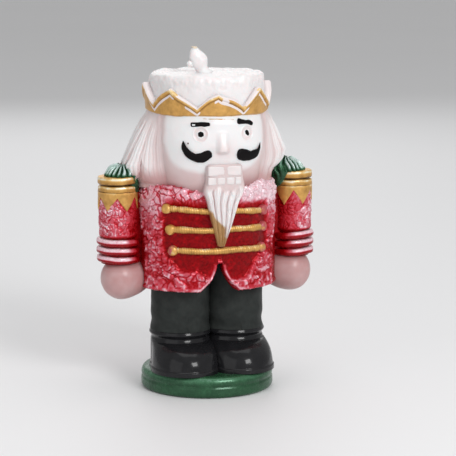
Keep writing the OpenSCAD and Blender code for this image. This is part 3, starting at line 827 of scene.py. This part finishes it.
def build_beard():
    z = np.linspace(BEARD_LOW - 0.2, JAW_TOP, 220)[:, None]
    u = np.linspace(-1, 1, 161)[None, :]
    left, right = beard_edges(z)
    x = left + (right - left) * (u + 1) / 2
    t = share((TEETH_LOW - z) / (TEETH_LOW - BEARD_LOW))
    front = JAW_FRONT - 2.3 * t ** 1.3
    round_off = 1.5 * (1 - rounded(u, 5))
    place = at(x, 0, z)
    lanes = 2.5 * u * (1 - 0.2 * t) + 0.22 * noise(place, 5, 81)
    lock = np.abs(np.cos(np.pi * lanes)) ** 0.6
    fine = np.abs(np.sin(np.pi * (lanes * 3 + 0.5 * noise(place, 2.5, 83))))
    chips = ramp(0.35, 0.6, noise(place * np.array([1.6, 1, 0.6]), 1.5, 84))
    hair = ramp(TEETH_LOW - 0.7, TEETH_LOW - 2.8, z + 0.9 * noise(place, 1.6, 85))
    cut = 1.05 * lock + 0.26 * fine - 0.30 * chips * lock - 0.8
    depth = front - round_off + hair * cut + 0.08 * fbm(place, 1.6, 87)
    border = -4.0 + 5.2 * ramp(BEARD_LOW + 10.5, BEARD_LOW + 3.5, z) + 1.0 * noise(place, 1.8, 89)
    gilt = ramp(0.6, -0.6, x - border) * ramp(BEARD_LOW + 11.8, BEARD_LOW + 9.2, z)
    gilt = np.maximum(gilt, ramp(BEARD_LOW + 3.6, BEARD_LOW + 2.2, z + 0.7 * noise(place, 1.2, 91)))
    depth = depth + 0.35 * gilt * hair * (1 - lock)
    outer = at(x, -depth, z)
    on_face = np.sqrt(np.clip(head_at(z) ** 2 - x ** 2, 0, None)) - 1.5
    back = np.where(z > SHOULDER, np.maximum(on_face, COAT_R * COAT_SHARE - 2.5), COAT_R * COAT_SHARE - 1.4)
    inner = at(x * 0.96, -back, z)
    # painted highlight and shade: whiter on the raised locks, pinker in the grooves between them
    pink_and_shade = 0.85 - 0.85 * lock * hair - 0.42 * (1 - hair) - 0.15 * fine * hair
    white = np.clip(0.05 + 0.75 * lock * hair, 0, 0.8)
    slab_piece("beard_and_jaw", outer, inner, False, ["beard", "beard_gold"], BEARD_WAX,
               {"pink_and_shade": share(pink_and_shade), "white": white, "gilt": gilt})


def build_teeth(node, shares):
    """A row of soft-cornered blocks on the jaw; shares of the node's width give their edges."""
    left, right = low(node)[0] - 0.15, high(node)[0] + 0.15
    edges = [left + (right - left) * part for part in shares]
    z_low, z_high = heights(node)
    uu, vv = np.meshgrid(np.linspace(-1, 1, 31), np.linspace(-1, 1, 31))
    pillow = rounded(uu, 6) * rounded(vv, 6)
    points, faces = [], []
    for k, (x0, x1) in enumerate(zip(edges, edges[1:])):
        x = (x0 + x1) / 2 + (x1 - x0 - 0.12) / 2 * uu * np.sqrt(1 - vv ** 2 * 0.06)
        z = (z_low + z_high) / 2 + (z_high - z_low) / 2 * vv * np.sqrt(1 - uu ** 2 * 0.08)
        y = 0.25 - JAW_FRONT - 0.36 * pillow - 0.06 * np.sin(3 * k) - 0.07 * noise(at(x, 0, z), 1.5, 93 + k)
        faces.append(slab_faces(*x.shape, False) + 2 * k * x.size)
        points += [at(x, y, z).reshape(-1, 3), at(x, 1.0 - JAW_FRONT, z).reshape(-1, 3)]
    # painted shade: pinker at the edges of each tooth, in the gaps between them
    pink_and_shade = np.tile(0.38 - 0.26 * pillow.ravel(), len(points))
    make(f"{node}_row", np.vstack(points), np.vstack(faces), [node], HAIR_WAX,
         {"pink_and_shade": pink_and_shade, "white": 0 * pink_and_shade + 0.25})


# ---- coat ----

def coat_surface(angle, inset, z):
    """Points on the coat's oval, moved in by `inset`."""
    return at((COAT_R - inset) * sin_deg(angle), -(COAT_R * COAT_SHARE - inset * 0.85) * cos_deg(angle), z)


def crackle(p, size, seed):
    """Flakes between thin creases, some run together, as wax rubbed with pearl. Returns height and tag."""
    warp = np.stack([noise(p, 2.6, seed + k) + 0.35 * noise(p, 1.1, seed + k + 5) for k in (11, 12, 13)], -1)
    gap, tag = cells(p * np.array([1, 1, 1.15]) + 1.6 * warp, size, seed)
    joined = 0.85 * ramp(0.1, 0.5, noise(p, 2.0, seed + 21))
    return np.maximum(ramp(0.0, 0.24, gap), joined), tag


def warped(p, seed):
    """The points, each shifted a little by noise."""
    return p + 0.9 * np.stack([noise(p, 2.0, seed + k) for k in range(3)], -1)


def creases(p, size, width, seed):
    """1 along wandering lines, 0 elsewhere."""
    return ramp(width, 0.0, np.abs(noise(p, size, seed)))


def build_coat():
    """The coat with its smooth front panel, its split in front, and the round of its shoulders."""
    # The grid: up the wall, round the shoulder and in over the top.
    angle = spaced((-180, -16, 0.6), (-16, 16, 0.18), (16, 180, 0.6))[None, :]
    top_round = 3.1
    straight = np.concatenate([[0, 0.006, 0.014, 0.024, 0.036, 0.05], np.linspace(0.065, 1, 105)])[:, None]
    x = COAT_R * sin_deg(angle)
    facing = cos_deg(angle) > 0
    crest = (COLLAR - SHOULDER) * np.where(x < 0, 0.80 * ramp(3, 8, -x), 1.4 * ramp(3, 9, x))
    crest = crest * (0.55 + 0.45 * ramp(-0.7, 0.0, cos_deg(angle)))
    wavy = 0.25 * noise(coat_surface(angle, 0, 0), 3, 109) * ramp(3, 8, np.abs(x))
    shoulder_z = SHOULDER + 0.45 + crest + wavy
    away = np.abs(x - SPLIT_X)
    opening = (SPLIT_TOP - HEM) * (1 - share((away - SPLIT_HALF) / SPLIT_FLARE) ** 0.56) * facing
    side_notch = 1.6 * bump(np.abs(angle), 93, 6)
    hem_z = HEM + 0.1 + opening + side_notch * ramp(HEM + 4, HEM, HEM + opening)
    z = hem_z + (shoulder_z - top_round - hem_z) * straight
    bend = np.radians(np.linspace(4, 90, 26))[:, None]
    flat_in = np.linspace(0.3, 4.5, 12)[:, None]
    inset = np.concatenate([0 * z, top_round * (1 - np.cos(bend)) + 0 * angle,
                            top_round + flat_in + 0 * angle])
    level = np.concatenate([z, shoulder_z - top_round + top_round * np.sin(bend),
                            shoulder_z - 0.12 * flat_in - 0.6 * crest * ramp(1.5, 4.5, flat_in)])
    p = coat_surface(angle, inset, level)

    # Distance to the hem and to the split's edges.
    far = 20.0
    split_half = SPLIT_HALF + SPLIT_FLARE * share((SPLIT_TOP - z) / (SPLIT_TOP - HEM)) ** 1.8
    beside = np.where((z < SPLIT_TOP + 0.4) & facing, np.maximum(away - split_half, 0), far)
    edge = np.minimum(z - hem_z, np.where(z < SPLIT_TOP, 1.1 * beside, far))
    front_lip = ramp(4.0, 2.0, beside) * ramp(SPLIT_TOP - 0.8, SPLIT_TOP - 2.4, z)
    rows_above = (0, len(bend) + len(flat_in)), (0, 0)
    edge = np.pad(edge, rows_above, constant_values=far)
    front_lip = np.pad(front_lip, rows_above)

    # The smooth panel behind the braids, and how rough the rest is.
    turn = angle + 0 * level
    wide = COAT_R * sin_deg(turn)
    sideways = np.minimum(ramp(-52, -48.5, turn + 1.6 * noise(p, 3, 101)),
                          ramp(49, 45.5, turn + 1.6 * noise(p, 3, 102)))
    floor_z = PANEL_LOW + 1.3 - 4.9 * ramp(14.5, 9.0, np.abs(wide + 1)) - 1.6 * ramp(9, 5, np.abs(wide - 1.5))
    floor_z = floor_z + 0.9 * noise(p, 3.5, 104)
    panel = (sideways * ramp(PANEL_TOP + 0.3, PANEL_TOP - 2.0, level + 0.5 * noise(p, 2.5, 103))
             * ramp(floor_z - 0.7, floor_z + 0.9, level))
    low_coat = ramp(SPLIT_TOP + 0.5, SPLIT_TOP - 2.5, level)[..., None]
    stretch = low_coat * (p - np.array([0, 0, SPLIT_TOP])) * np.array([-0.30, -0.30, -0.05])
    pebble, tag = crackle(p + stretch, 2.4, 105)
    small = crackle(p, 0.95, 125)[0]
    start = np.where(turn < 0, 71, 55) + 14 * ramp(PANEL_LOW + 4, PANEL_LOW + 13, level)
    near_arm = ramp(start, start + 9, np.abs(turn)) * ramp(122, 108, np.abs(turn))
    rough = (1 - 0.86 * panel) * (1 - 0.7 * near_arm)

    # Height: flakes, thin creases, rolled lips along the edges, a fold at the back.
    lip = bump(edge, 0.75, 0.55)
    tails = ramp(SPLIT_TOP + 1, SPLIT_TOP - 1.5, level) * facing
    warp = warped(p, 126)
    fine = 0.8 * creases(warp, 1.1, 0.16, 132) * ramp(0.0, 0.4, noise(p, 2.5, 133))
    crinkle = np.maximum(creases(warp, 1.9, 0.22, 129) * ramp(0.05, 0.4, pebble), fine)
    height = 0.42 * pebble ** 0.7 * (0.60 + 0.40 * tag) + 0.14 * small + 0.38 * crinkle
    height = height * rough * (1 - 0.75 * lip)
    height = height - 0.34 - (PANEL_SINK + 0.1) * panel + 0.12 * fbm(p, 3, 107)
    height = height + 0.5 * lip * ramp(0.0, 0.25, edge) - 0.9 * ramp(0.28, 0.0, edge)
    height = height - 0.7 * bump(np.abs(turn), 180, 2.0) * ramp(PANEL_LOW + 7.5, PANEL_LOW + 3.5, level)
    collar = ramp(top_round - 0.8, top_round + 0.4, inset)
    height = height * (1 - 0.6 * collar) + 0.15 * collar
    p = swell(p, height * ramp(top_round + 4.5, top_round + 4.0, inset))

    # Colour: red in the grooves, pearl on the high spots, painted glints and light crinkle lines as
    # highlights, a painted highlight that makes the figure's left shoulder palest, and painted shade by the
    # arms.
    # painted highlight: glints over the flakes and light lines along the crinkles
    glint = ramp(0.15, 0.75, noise(p * np.array([1, 1, 1.5]), 0.8, 117) + 0.35 * tag + 0.25 * tails)
    patch = 0.5 + 0.5 * noise(p, 4.5, 121)
    tone = 0.03 + (0.13 + 0.25 * ramp(0.0, 0.8, pebble) + 0.04 * small + 0.26 * (patch - 0.45)) * rough
    tone = tone + (0.40 * crinkle * (0.4 + 0.6 * glint) + 0.24 * glint * ramp(0.3, 0.9, pebble)) * rough
    # painted highlight: the tops of the shoulders lighter at the front
    bright = ramp(SHOULDER - 8, SHOULDER - 4.5, level) * ramp(-0.5, 0.9, (shoulder_z - level)) * facing
    tone = tone + (0.20 * ramp(0.1, 0.7, pebble) + 0.16) * bright * rough
    # painted highlight: the palest patch, on the figure's left shoulder
    pale = ramp(SHOULDER - 5.5, SHOULDER - 2, level + 0.9 * noise(p * np.array([1, 1, 0.3]), 1.3, 119))
    pale = pale * ramp(4, 8, wide) * ramp(19.8, 18, wide) * facing * rough
    behind_braids = sideways * ramp(PANEL_TOP + 1.2, PANEL_TOP - 0.4, level)
    behind_braids = behind_braids * ramp(floor_z, floor_z + 3, level)
    tone = tone * (1 - 0.42 * behind_braids * (1 - 0.5 * pale))
    tone = tone + (1.0 - tone) * 0.85 * pale
    tone = tone + panel * (0.02 + 0.10 * ramp(0.3, 0.8, noise(p, 1.1, 113)))
    tone = np.minimum(tone, 0.86 + 0.14 * pale)
    tone = np.maximum(tone, lip * (0.55 + 0.45 * front_lip) * (0.90 + 0.15 * noise(p, 3, 115)))
    # painted shade: darker red next to the arms, where arm and coat meet
    tone = tone * (1 - 0.75 * near_arm) + 0.10 * near_arm
    collar = collar * (1 - 0.8 * pale)
    tone = tone * (1 - 0.9 * collar) + 0.26 * collar
    inner_z = np.minimum(np.maximum(level, hem_z + 0.3), shoulder_z - 4)
    inner = coat_surface(angle, 4.0 + 0.65 * inset, inner_z)
    slab_piece("coat_body", p, inner, True, ["coat", "coat_panel"], RED,
               {"tone": share(tone)}, {"tone": 0.1})


def braid_point(turn, level):
    """A point on the coat's front panel, and the direction that points out there."""
    normal = at(sin_deg(turn) * COAT_SHARE, -cos_deg(turn), 0)
    normal /= np.linalg.norm(normal, axis=-1, keepdims=True)
    return at(PANEL_R * sin_deg(turn), -PANEL_R * COAT_SHARE * cos_deg(turn), level), normal


FALL = {"upper": 1.3, "middle": 0.1, "lower": 0.1}  # how much lower each braid ends than it starts
UP = np.array([0, 0, 1.0])


def build_frog(row, worn):
    """A gold rope along the node it stands for, which falls a little towards the figure's left."""
    start, end = (math.degrees(math.asin(corner(f"{row}_frog")[0] / PANEL_R)) for corner in (low, high))
    count = 460
    turn = np.linspace(start, end, count)
    level = FROGS[row] + 0.12 * np.sin(turn * 0.13) - FALL[row] * (turn - start) / (end - start)
    centre, normal = braid_point(turn, level)
    a = circle(32)
    place = centre[:, None] + 0 * a[None, :, None]
    rope = np.sin(turn[:, None] * 3.1 + a + 1.7 * noise(place, 2.0, 137))
    taper = rounded(np.linspace(-1, 1, count), 60)[:, None]
    r = (0.86 + 0.028 * rope + 0.15 * noise(place, 1.7, 131) + 0.10 * noise(place, 0.7, 132)) * taper + 0.02
    ring = normal[:, None] * (r * np.cos(a) * 0.95)[..., None] + UP * (r * np.sin(a))[..., None]
    p = centre[:, None] + ring
    up = np.sin(a) * 0.5 + 0.5
    # painted light and shade: lighter on the rope's upper side and on its twist, darker underneath
    tone = 0.34 + 0.09 * rope + 0.42 * up + 0.2 * noise(p, 1.2, 133)
    ends = ramp(start + worn, start, turn) + ramp(end - worn, end, turn)
    wear_and_highlight = 0.30 * ends[:, None] + 0.30 * ramp(0.5, 0.9, noise(p, 0.9, 135))
    ring_piece(f"{row}_braid", p[:, ::-1], [f"{row}_frog"], BRAID_GOLD,
               {"tone": tone[:, ::-1], "bare": share(wear_and_highlight)[:, ::-1]})


def build_button(row, side, gilded):
    """A domed stud at one end of a braid."""
    node = f"{side}_{row}_button"
    centre = middle(node)
    turn = math.degrees(math.atan2(centre[0] / COAT_R, -centre[1] / (COAT_R * COAT_SHARE)))
    level = FROGS[row] - (FALL[row] if side == "left" else 0)
    base, normal = braid_point(turn, level)
    across = np.cross(UP, normal)
    rows = soften(lathe_rows([(1.45, -0.9), (1.45, 0.2), (1.3, 0.75), (0.7, 1.1), (0.05, 1.15)], 0.08), 3)
    a = circle(48)
    r = rows[:, :1] * (1 + 0.05 * np.sin(3 * a + turn))
    p = (base + across * (r * np.cos(a))[..., None] + UP * (r * np.sin(a))[..., None]
         + normal * (rows[:, 1:] + 0 * a)[..., None])
    if np.dot(normals(p, True)[len(rows) // 2, 0], p[len(rows) // 2, 0] - base) < 0:
        p = p[:, ::-1]
    p = swell(p, 0.06 * fbm(p, 0.9, 141))
    tone = 0.6 + 0.2 * noise(p, 1.0, 143)
    worn = (0.62 if side == "left" else 0.46) + 0.25 * noise(p, 1.3, 145)
    ring_piece(f"{node}_head", p, [node], GOLD if gilded else BRAID_GOLD,
               {"tone": tone, "bare": 0 * tone if gilded else worn})


# ---- arms ----

def at_arm(side, p):
    """The points, moved from the figure's axis to the arm's."""
    return p + np.array([ARM[side][0], ARM[side][1], 0])


def outer_side(side, angle):
    """1 on the side of the arm away from the coat and towards the front, 0 next to the coat."""
    return 0.5 + 0.5 * cos_deg(angle - SIDES[side] * 55)


def build_sleeve(side):
    angle = once_round(1.0)
    top = high(f"{side}_gold_band")[2] + 0.4
    z = np.concatenate([[CUFF_LOW - 0.02], np.arange(CUFF_LOW, top, 0.16)])[:, None]
    r = SLEEVE_R - 0.45 * ramp(CUFF_TOP + 0.9, CUFF_TOP + 0.1, z) - 0.1
    p = at_arm(side, around(angle, r, z))
    pebble, tag = crackle(p, 1.7, 151 + SIDES[side])
    outer = outer_side(side, angle)
    rough = ramp(CUFF_TOP + 0.7, CUFF_TOP + 1.5, z) * (0.35 + 0.65 * outer)
    p = swell(p, rough * (0.42 * pebble * (0.5 + 0.5 * tag) - 0.15) + 0.08 * fbm(p, 2.5, 155))
    crinkle = creases(warped(p, 156), 1.5, 0.26, 159)
    # painted light and shade: paler on the outer front side, deep red next to the coat, with light lines
    # along the crinkles as painted highlights
    outward = ramp(0.30, 0.85, outer)
    tone = 0.05 + (0.30 * ramp(0.05, 0.6, pebble) + 0.26 * crinkle * (0.4 + 0.6 * outward)
                   + 0.46 * outward * (0.4 + 0.6 * tag)) * rough
    ring_piece(f"{side}_sleeve_body", p, [f"{side}_sleeve"], RED, {"tone": share(tone)})


def build_web(side):
    """The wax web between arm and coat, thin in the middle."""
    s = SIDES[side]
    u = np.linspace(0, 1, 30)[None, :]
    z = np.linspace(CUFF_LOW, high(f"{side}_gold_band")[2] + 0.9, 80)[:, None]
    x = s * (COAT_R - 3 + (ARM["left"][0] - COAT_R - 0.5) * u)
    pinch = 1.6 + 1.1 * (2 * u - 1) ** 2
    place = at(x, 0, z)
    front = ARM[side][1] - pinch - 0.15 * noise(place, 3, 161)
    back = ARM[side][1] + pinch + 0.15 * noise(place, 3, 162)
    outer, inner = at(x, front, z), at(x, back, z)
    if s < 0:
        outer, inner = outer[:, ::-1], inner[:, ::-1]
    tone = 0.14 + 0.06 * noise(place, 2, 163)
    slab_piece(f"{side}_arm_web", outer, inner, False, [], RED, {"tone": tone})


def build_gold_band(side):
    """The gold band with points that hang down under the shoulder rings."""
    angle = once_round(1.0)
    s = np.concatenate([[0, 0.02, 0.06], np.linspace(0.12, 1, 30)])[:, None]
    place = around(angle, SLEEVE_R, 0)
    band_low, band_top = heights(f"{side}_gold_band")
    tips = zigzag(angle, band_top - 1.1, band_low, 6, 15) + 0.35 * noise(place + SIDES[side] * 9, 2.5, 171)
    z = tips + (band_top + 0.2 - tips) * s
    p = at_arm(side, around(angle, SLEEVE_R + 0.22 - 0.35 * ramp(0.08, 0, s), z))
    p = swell(p, 0.10 * fbm(p, 1.8, 173))
    inner = at_arm(side, around(angle, SLEEVE_R - 0.7, z))
    tone = 0.52 + 0.2 * fbm(p, 1.5, 175) + 0.2 * ramp(band_top - 0.6, band_top, z)
    bare = 0.35 * ramp(0.15, 0, s) + 0.25 * ramp(0.3, 0.8, noise(p, 1.4, 177))
    slab_piece(f"{side}_gold_zigzag", p, inner, True, [f"{side}_gold_band"], BRAID_GOLD,
               {"tone": tone, "bare": bare}, {"bare": 0.0})


def build_ring(name, side, node, finish, seed, tilt=0.0):
    """A rounded ring round the arm, gold or pearl."""
    pearl = finish is CUFF_PEARL
    r_out = half_depth(node)
    z0, z1 = heights(node)
    more = 0.14 if pearl else 0.0
    below, above = z0 - more, z1 + more
    rows = soften(lathe_rows([(r_out - 1.6, below), (r_out - 0.35, below), (r_out, z0 + 0.3),
                              (r_out, z1 - 0.3), (r_out - 0.35, above), (r_out - 1.6, above)], 0.1), 5)
    angle = once_round(1.5)
    place = around(angle, r_out, 0) + seed
    wave = 0.22 * noise(place, 4, seed)
    z = rows[:, 1:] + wave + tilt * sin_deg(angle)
    p = at_arm(side, around(angle, rows[:, :1] * (1 + 0.015 * noise(place, 5, seed + 1)), z))
    p = swell(p, 0.09 * fbm(p, 1.3, seed + 2))
    rise = (rows[:, 1:] - z0) / (z1 - z0)
    if pearl:
        # pearl paint with a painted highlight: pale on the upper, outer part of each ring, deep red below it
        # and next to the coat
        outward = ramp(0.38, 0.72, outer_side(side, angle) + 0.10 * noise(p, 2, seed + 3))
        wear_and_highlight = 0.36 if side == "right" else 0.45
        fields = {"tone": share(0.12 + 0.82 * outward * ramp(wear_and_highlight, wear_and_highlight + 0.22, rise))}
    else:
        # painted highlight near the upper edge, and painted shade along the lower edge where it meets the
        # next ring
        tone = 0.40 + 0.55 * bump(rise, 0.78, 0.22) - 0.6 * ramp(0.25, 0.05, rise)
        fields = {"tone": tone + 0.15 * noise(p, 1.5, seed + 4),
                  "bare": 0.42 * ramp(0.5, 0.9, noise(p, 1.1, seed + 5))}
    ring_piece(name, p, [node], finish, fields)


def build_epaulette(side):
    """A ribbed green dome, like a tuft, that hangs lower beside the coat."""
    s = SIDES[side]
    dome_low, dome_top = heights(f"{side}_epaulette")
    angle = once_round(0.75)
    inward = ramp(0.74, 0.97, 0.5 + 0.5 * cos_deg(angle + s * 72))
    bottom = dome_low - 0.1 - 4.3 * inward
    rise = np.linspace(0, 1, 80)[:, None]
    bend = np.radians(90 * share((rise - 0.25) / 0.75))
    # How much narrower, lower, nearer to the coat and more slanted it is than its plain form.
    slim, dip, shift, lean = (0.65, 0.75, 1.0, 0.0) if side == "right" else (0.1, 0.3, 1.8, 0.16)
    r = (half_depth(f"{side}_epaulette") - slim + 0.75 * inward) * np.cos(bend) ** 0.8 + 0.05
    z = np.where(rise < 0.25, bottom + (dome_low - bottom) * rise / 0.25,
                 dome_low + (dome_top - dome_low - 0.2 - dip) * np.sin(bend) ** 1.15)
    p = around(angle, r, z)
    p[..., 2] -= lean * s * p[..., 0] * ramp(0.25, 0.5, rise)
    p = at_arm(side, p)
    p[..., 0] -= s * shift
    twist = 0.5 * noise(p, 2.6, 191 + s) + 0.9 * rise * s
    rib = np.abs(np.sin(np.pi * (angle / 18.0 + twist)))
    fade = ramp(0.10, 0.34, rise) * ramp(1.0, 0.90, rise)
    height = fade * (1.05 * rib ** 1.6 - 0.45) + (0.16 + 0.22 * ramp(0.5, 0.8, rise)) * fbm(p, 0.9, 195)
    p = swell(p, height)
    # painted highlight: the rib tops pale on the outer side and upper part, dark green towards the coat
    rib_highlight = ramp(0.35, 0.65, outer_side(side, angle) + 0.25 * noise(p, 2.2, 197 + s))
    rib_highlight = rib_highlight * ramp(0.25, 0.45, rise)
    tone = 0.22 + 0.75 * ramp(0.45, 0.9, rib) * fade * rib_highlight + 0.16 * fbm(p, 1.5, 199)
    ring_piece(f"{side}_epaulette_dome", p, [f"{side}_epaulette"], GREEN,
               {"tone": share(tone)})


def build_hand(side):
    """A plain ball hand, drawn out into a web where it meets the coat."""
    s = SIDES[side]
    node = f"{side}_hand"
    z_low, z_high = heights(node)
    r = half_depth(node)
    polar = np.radians(np.linspace(-89.5, 62, 110))[:, None]
    angle = once_round(1.5)
    z = z_low + r * 1.06 * (1 + np.sin(polar))
    p = around(angle, r * np.cos(polar), z)
    stretch = share(-s * sin_deg(angle)) ** 3 * np.cos(polar) ** 1.5
    p[..., 0] -= s * 3.4 * stretch
    p[..., 1] *= 1 - 0.25 * stretch
    outermost = max(abs(low(node)[0]), abs(high(node)[0]))
    p = p + np.array([s * (outermost - r), middle(node)[1], 0])
    p = swell(p, 0.10 * fbm(p, 4, 201 + s))
    # red where the hand runs into the red web; pinker and redder at the top as painted shade under the cuff
    red_paint_and_reflection = 0.10 + 0.03 * s + 0.66 * ramp(0.25, 0.95, stretch) + 0.35 * ramp(z_high - 1.6, z_high - 0.2, z)
    pink_and_shade = 0.90 + 0.20 * stretch + 0.35 * ramp(z_high - 2.5, z_high - 0.5, z) + 0.14 * fbm(p, 3, 203)
    ring_piece(f"{node}_ball", p, [node], BARE_WAX,
               {"pink_and_shade": share(pink_and_shade), "white": 0 * pink_and_shade, "red_paint_and_reflection": share(red_paint_and_reflection)})


# ---- legs and base ----

def build_trouser(side):
    s = SIDES[side]
    z0, z1 = heights(f"{side}_trouser")
    angle = once_round(1.2)
    z = np.linspace(z0 - 0.1, z1, 120)[:, None]
    fold = 0.25 * np.sin((z - z0) * 1.1 + 0.03 * angle) * ramp(z0 + 9, z0, z)
    crease = 0.35 * bump(signed(angle), 0, 8)
    p = around(angle, LEG_R + fold + crease, z) + np.array([s * LEG_X, 0, 0])
    p = swell(p, 0.10 * fbm(p, 4, 211 + s))
    p[..., 0] = s * np.maximum(s * p[..., 0], -0.05)
    ring_piece(f"{side}_trouser_leg", p, [f"{side}_trouser"], TROUSERS)


def build_boot(side):
    s = SIDES[side]
    z0, z1 = heights(f"{side}_boot")
    toe = -low(f"{side}_boot")[1]
    angle = once_round(1.0)
    z = np.concatenate([[z0 - 0.05], np.linspace(z0, z1, 90)])[:, None]
    t = share((z - z0) / (z1 - z0))
    shaft = LEG_R + 0.2 + 0.35 * bump(t, 0.93, 0.05) - 0.3 * bump(t, 0.82, 0.05)
    instep = rounded(t / 0.72, 2.2)
    reach = (toe - LEG_R) * instep * share(cos_deg(angle)) ** 1.6
    sole = 0.35 * ramp(0.13, 0.10, t)
    p = around(angle, shaft + reach + sole, z) + np.array([s * LEG_X, 0, 0])
    p = swell(p, 0.08 * fbm(p, 4, 221 + s))
    p[..., 0] = s * np.maximum(s * p[..., 0], -0.05)
    ring_piece(f"{side}_boot_body", p, [f"{side}_boot"], BOOTS)


def build_base():
    z1 = high("base")[2]
    r = (high("base")[0] - low("base")[0]) / 2
    rows = soften(lathe_rows([(0.3, 0), (r - 0.6, 0), (r, 0.7), (r - 0.1, z1 - 1.6), (r - 0.5, z1 - 0.5),
                              (r - 1.6, z1), (0.3, z1)], 0.25), 4)
    rows[:3, 1] = 0
    rim, z = rows[:, :1], rows[:, 1:]
    p = around(once_round(1.0), rim, z)
    groove = 0.35 * bump(z, z1 * 0.55, 0.35)
    p = swell(p, (0.14 * fbm(p, 5, 231) - groove * ramp(r - 2, r - 0.5, rim)) * ramp(0.1, 1.0, z))
    p[..., 2] = np.maximum(p[..., 2], 0)
    tone = 0.30 + 0.16 * fbm(p, 3, 233) + 0.25 * ramp(r - 1.6, r - 0.5, rim) * ramp(z1 - 2, z1 - 0.7, z)
    ring_piece("base_plinth", p, ["base"], GREEN, {"tone": share(tone)})


# ---- everything ----

build_head()
build_features()
build_gold_line()
build_hair("right_mane", 236, 360 - HAIR_EDGE[-1] + 4, ["right_hair"])
build_hair("left_mane", HAIR_EDGE[1] - 4, 124, ["left_hair"])
build_hair("back_mane", 124, 236, ["back_hair"])
build_crown()
build_crown_wax()
build_wick()
build_beard()
build_teeth("upper_teeth", [0, 0.53, 1])
build_teeth("lower_teeth", [0, 0.26, 0.53, 0.80, 1])
build_coat()
for row, worn in (("upper", 3), ("middle", 5), ("lower", 8)):
    build_frog(row, worn)
for row, gilded_sides in (("upper", ("right",)), ("middle", ("right",)), ("lower", ())):
    for side in SIDES:
        build_button(row, side, side in gilded_sides)
for side in SIDES:
    build_sleeve(side)
    build_web(side)
    build_gold_band(side)
    build_ring(f"{side}_gold_ring_upper", side, f"{side}_upper_ring", GOLD, 301)
    build_ring(f"{side}_gold_ring_lower", side, f"{side}_lower_ring", GOLD, 311)
    for seed, row in ((321, "upper"), (331, "middle"), (341, "lower")):
        build_ring(f"{side}_cuff_ring_{row}", side, f"{side}_cuff_{row}", CUFF_PEARL, seed,
                   0.25 * SIDES[side])
    build_epaulette(side)
    build_hand(side)
    build_trouser(side)
    build_boot(side)
build_base()


# ---- stage ----

def build_stage():
    """A plain pale floor."""
    size = 3.0
    mesh = bpy.data.meshes.new("floor")
    corners = [(-size, -size, 0), (size, -size, 0), (size, size, 0), (-size, size, 0)]
    mesh.from_pydata(corners, [], [(0, 1, 2, 3)])
    f = Finish("floor_paper", 0.6)
    f.set("Base Color", f.mix(f.grain(400), (0.80, 0.80, 0.81), (0.84, 0.84, 0.85)))
    mesh.materials.append(f.material)
    put_in_scene("floor", mesh)


def add_light(name, place, size, power):
    """A soft square light that points at the middle of the figure; metres and watts."""
    data = bpy.data.lights.new(name, "AREA")
    data.size = size
    data.energy = power
    lamp = put_in_scene(name, data)
    lamp.location = place
    lamp.rotation_euler = (Vector((0, 0, 0.055)) - Vector(place)).to_track_quat("-Z", "Y").to_euler()


def build_lights():
    add_light("key", (0.17, -0.60, 0.40), 0.24, 2.5)
    add_light("fill", (-0.60, -0.45, 0.30), 0.6, 0.7)
    add_light("top", (0.05, 0.0, 0.75), 0.5, 1.1)
    add_light("back", (0.1, 0.6, 0.4), 0.5, 0.8)
    world = bpy.data.worlds.new("studio")
    world.use_nodes = True
    background = world.node_tree.nodes["Background"]
    background.inputs["Color"].default_value = (1, 1, 1, 1)
    background.inputs["Strength"].default_value = 0.48
    bpy.context.scene.world = world


def build_camera():
    """The camera stands a little to the figure's right and looks slightly down."""
    azimuth, elevation = math.radians(-16), math.radians(9.5)
    distance = 0.57
    target = Vector((0, 0, 0.045))
    back = Vector((math.sin(azimuth) * math.cos(elevation), -math.cos(azimuth) * math.cos(elevation),
                   math.sin(elevation)))
    data = bpy.data.cameras.new("camera")
    data.sensor_width = 36
    data.lens = 157.5
    data.shift_x = 0.0465
    data.shift_y = 0.0037
    data.clip_start = 0.01
    camera = put_in_scene("camera", data)
    camera.location = target + back * distance
    camera.rotation_euler = (-back).to_track_quat("-Z", "Y").to_euler()
    bpy.context.scene.camera = camera


build_stage()
build_lights()
build_camera()
bpy.context.scene.view_settings.view_transform = "Standard"
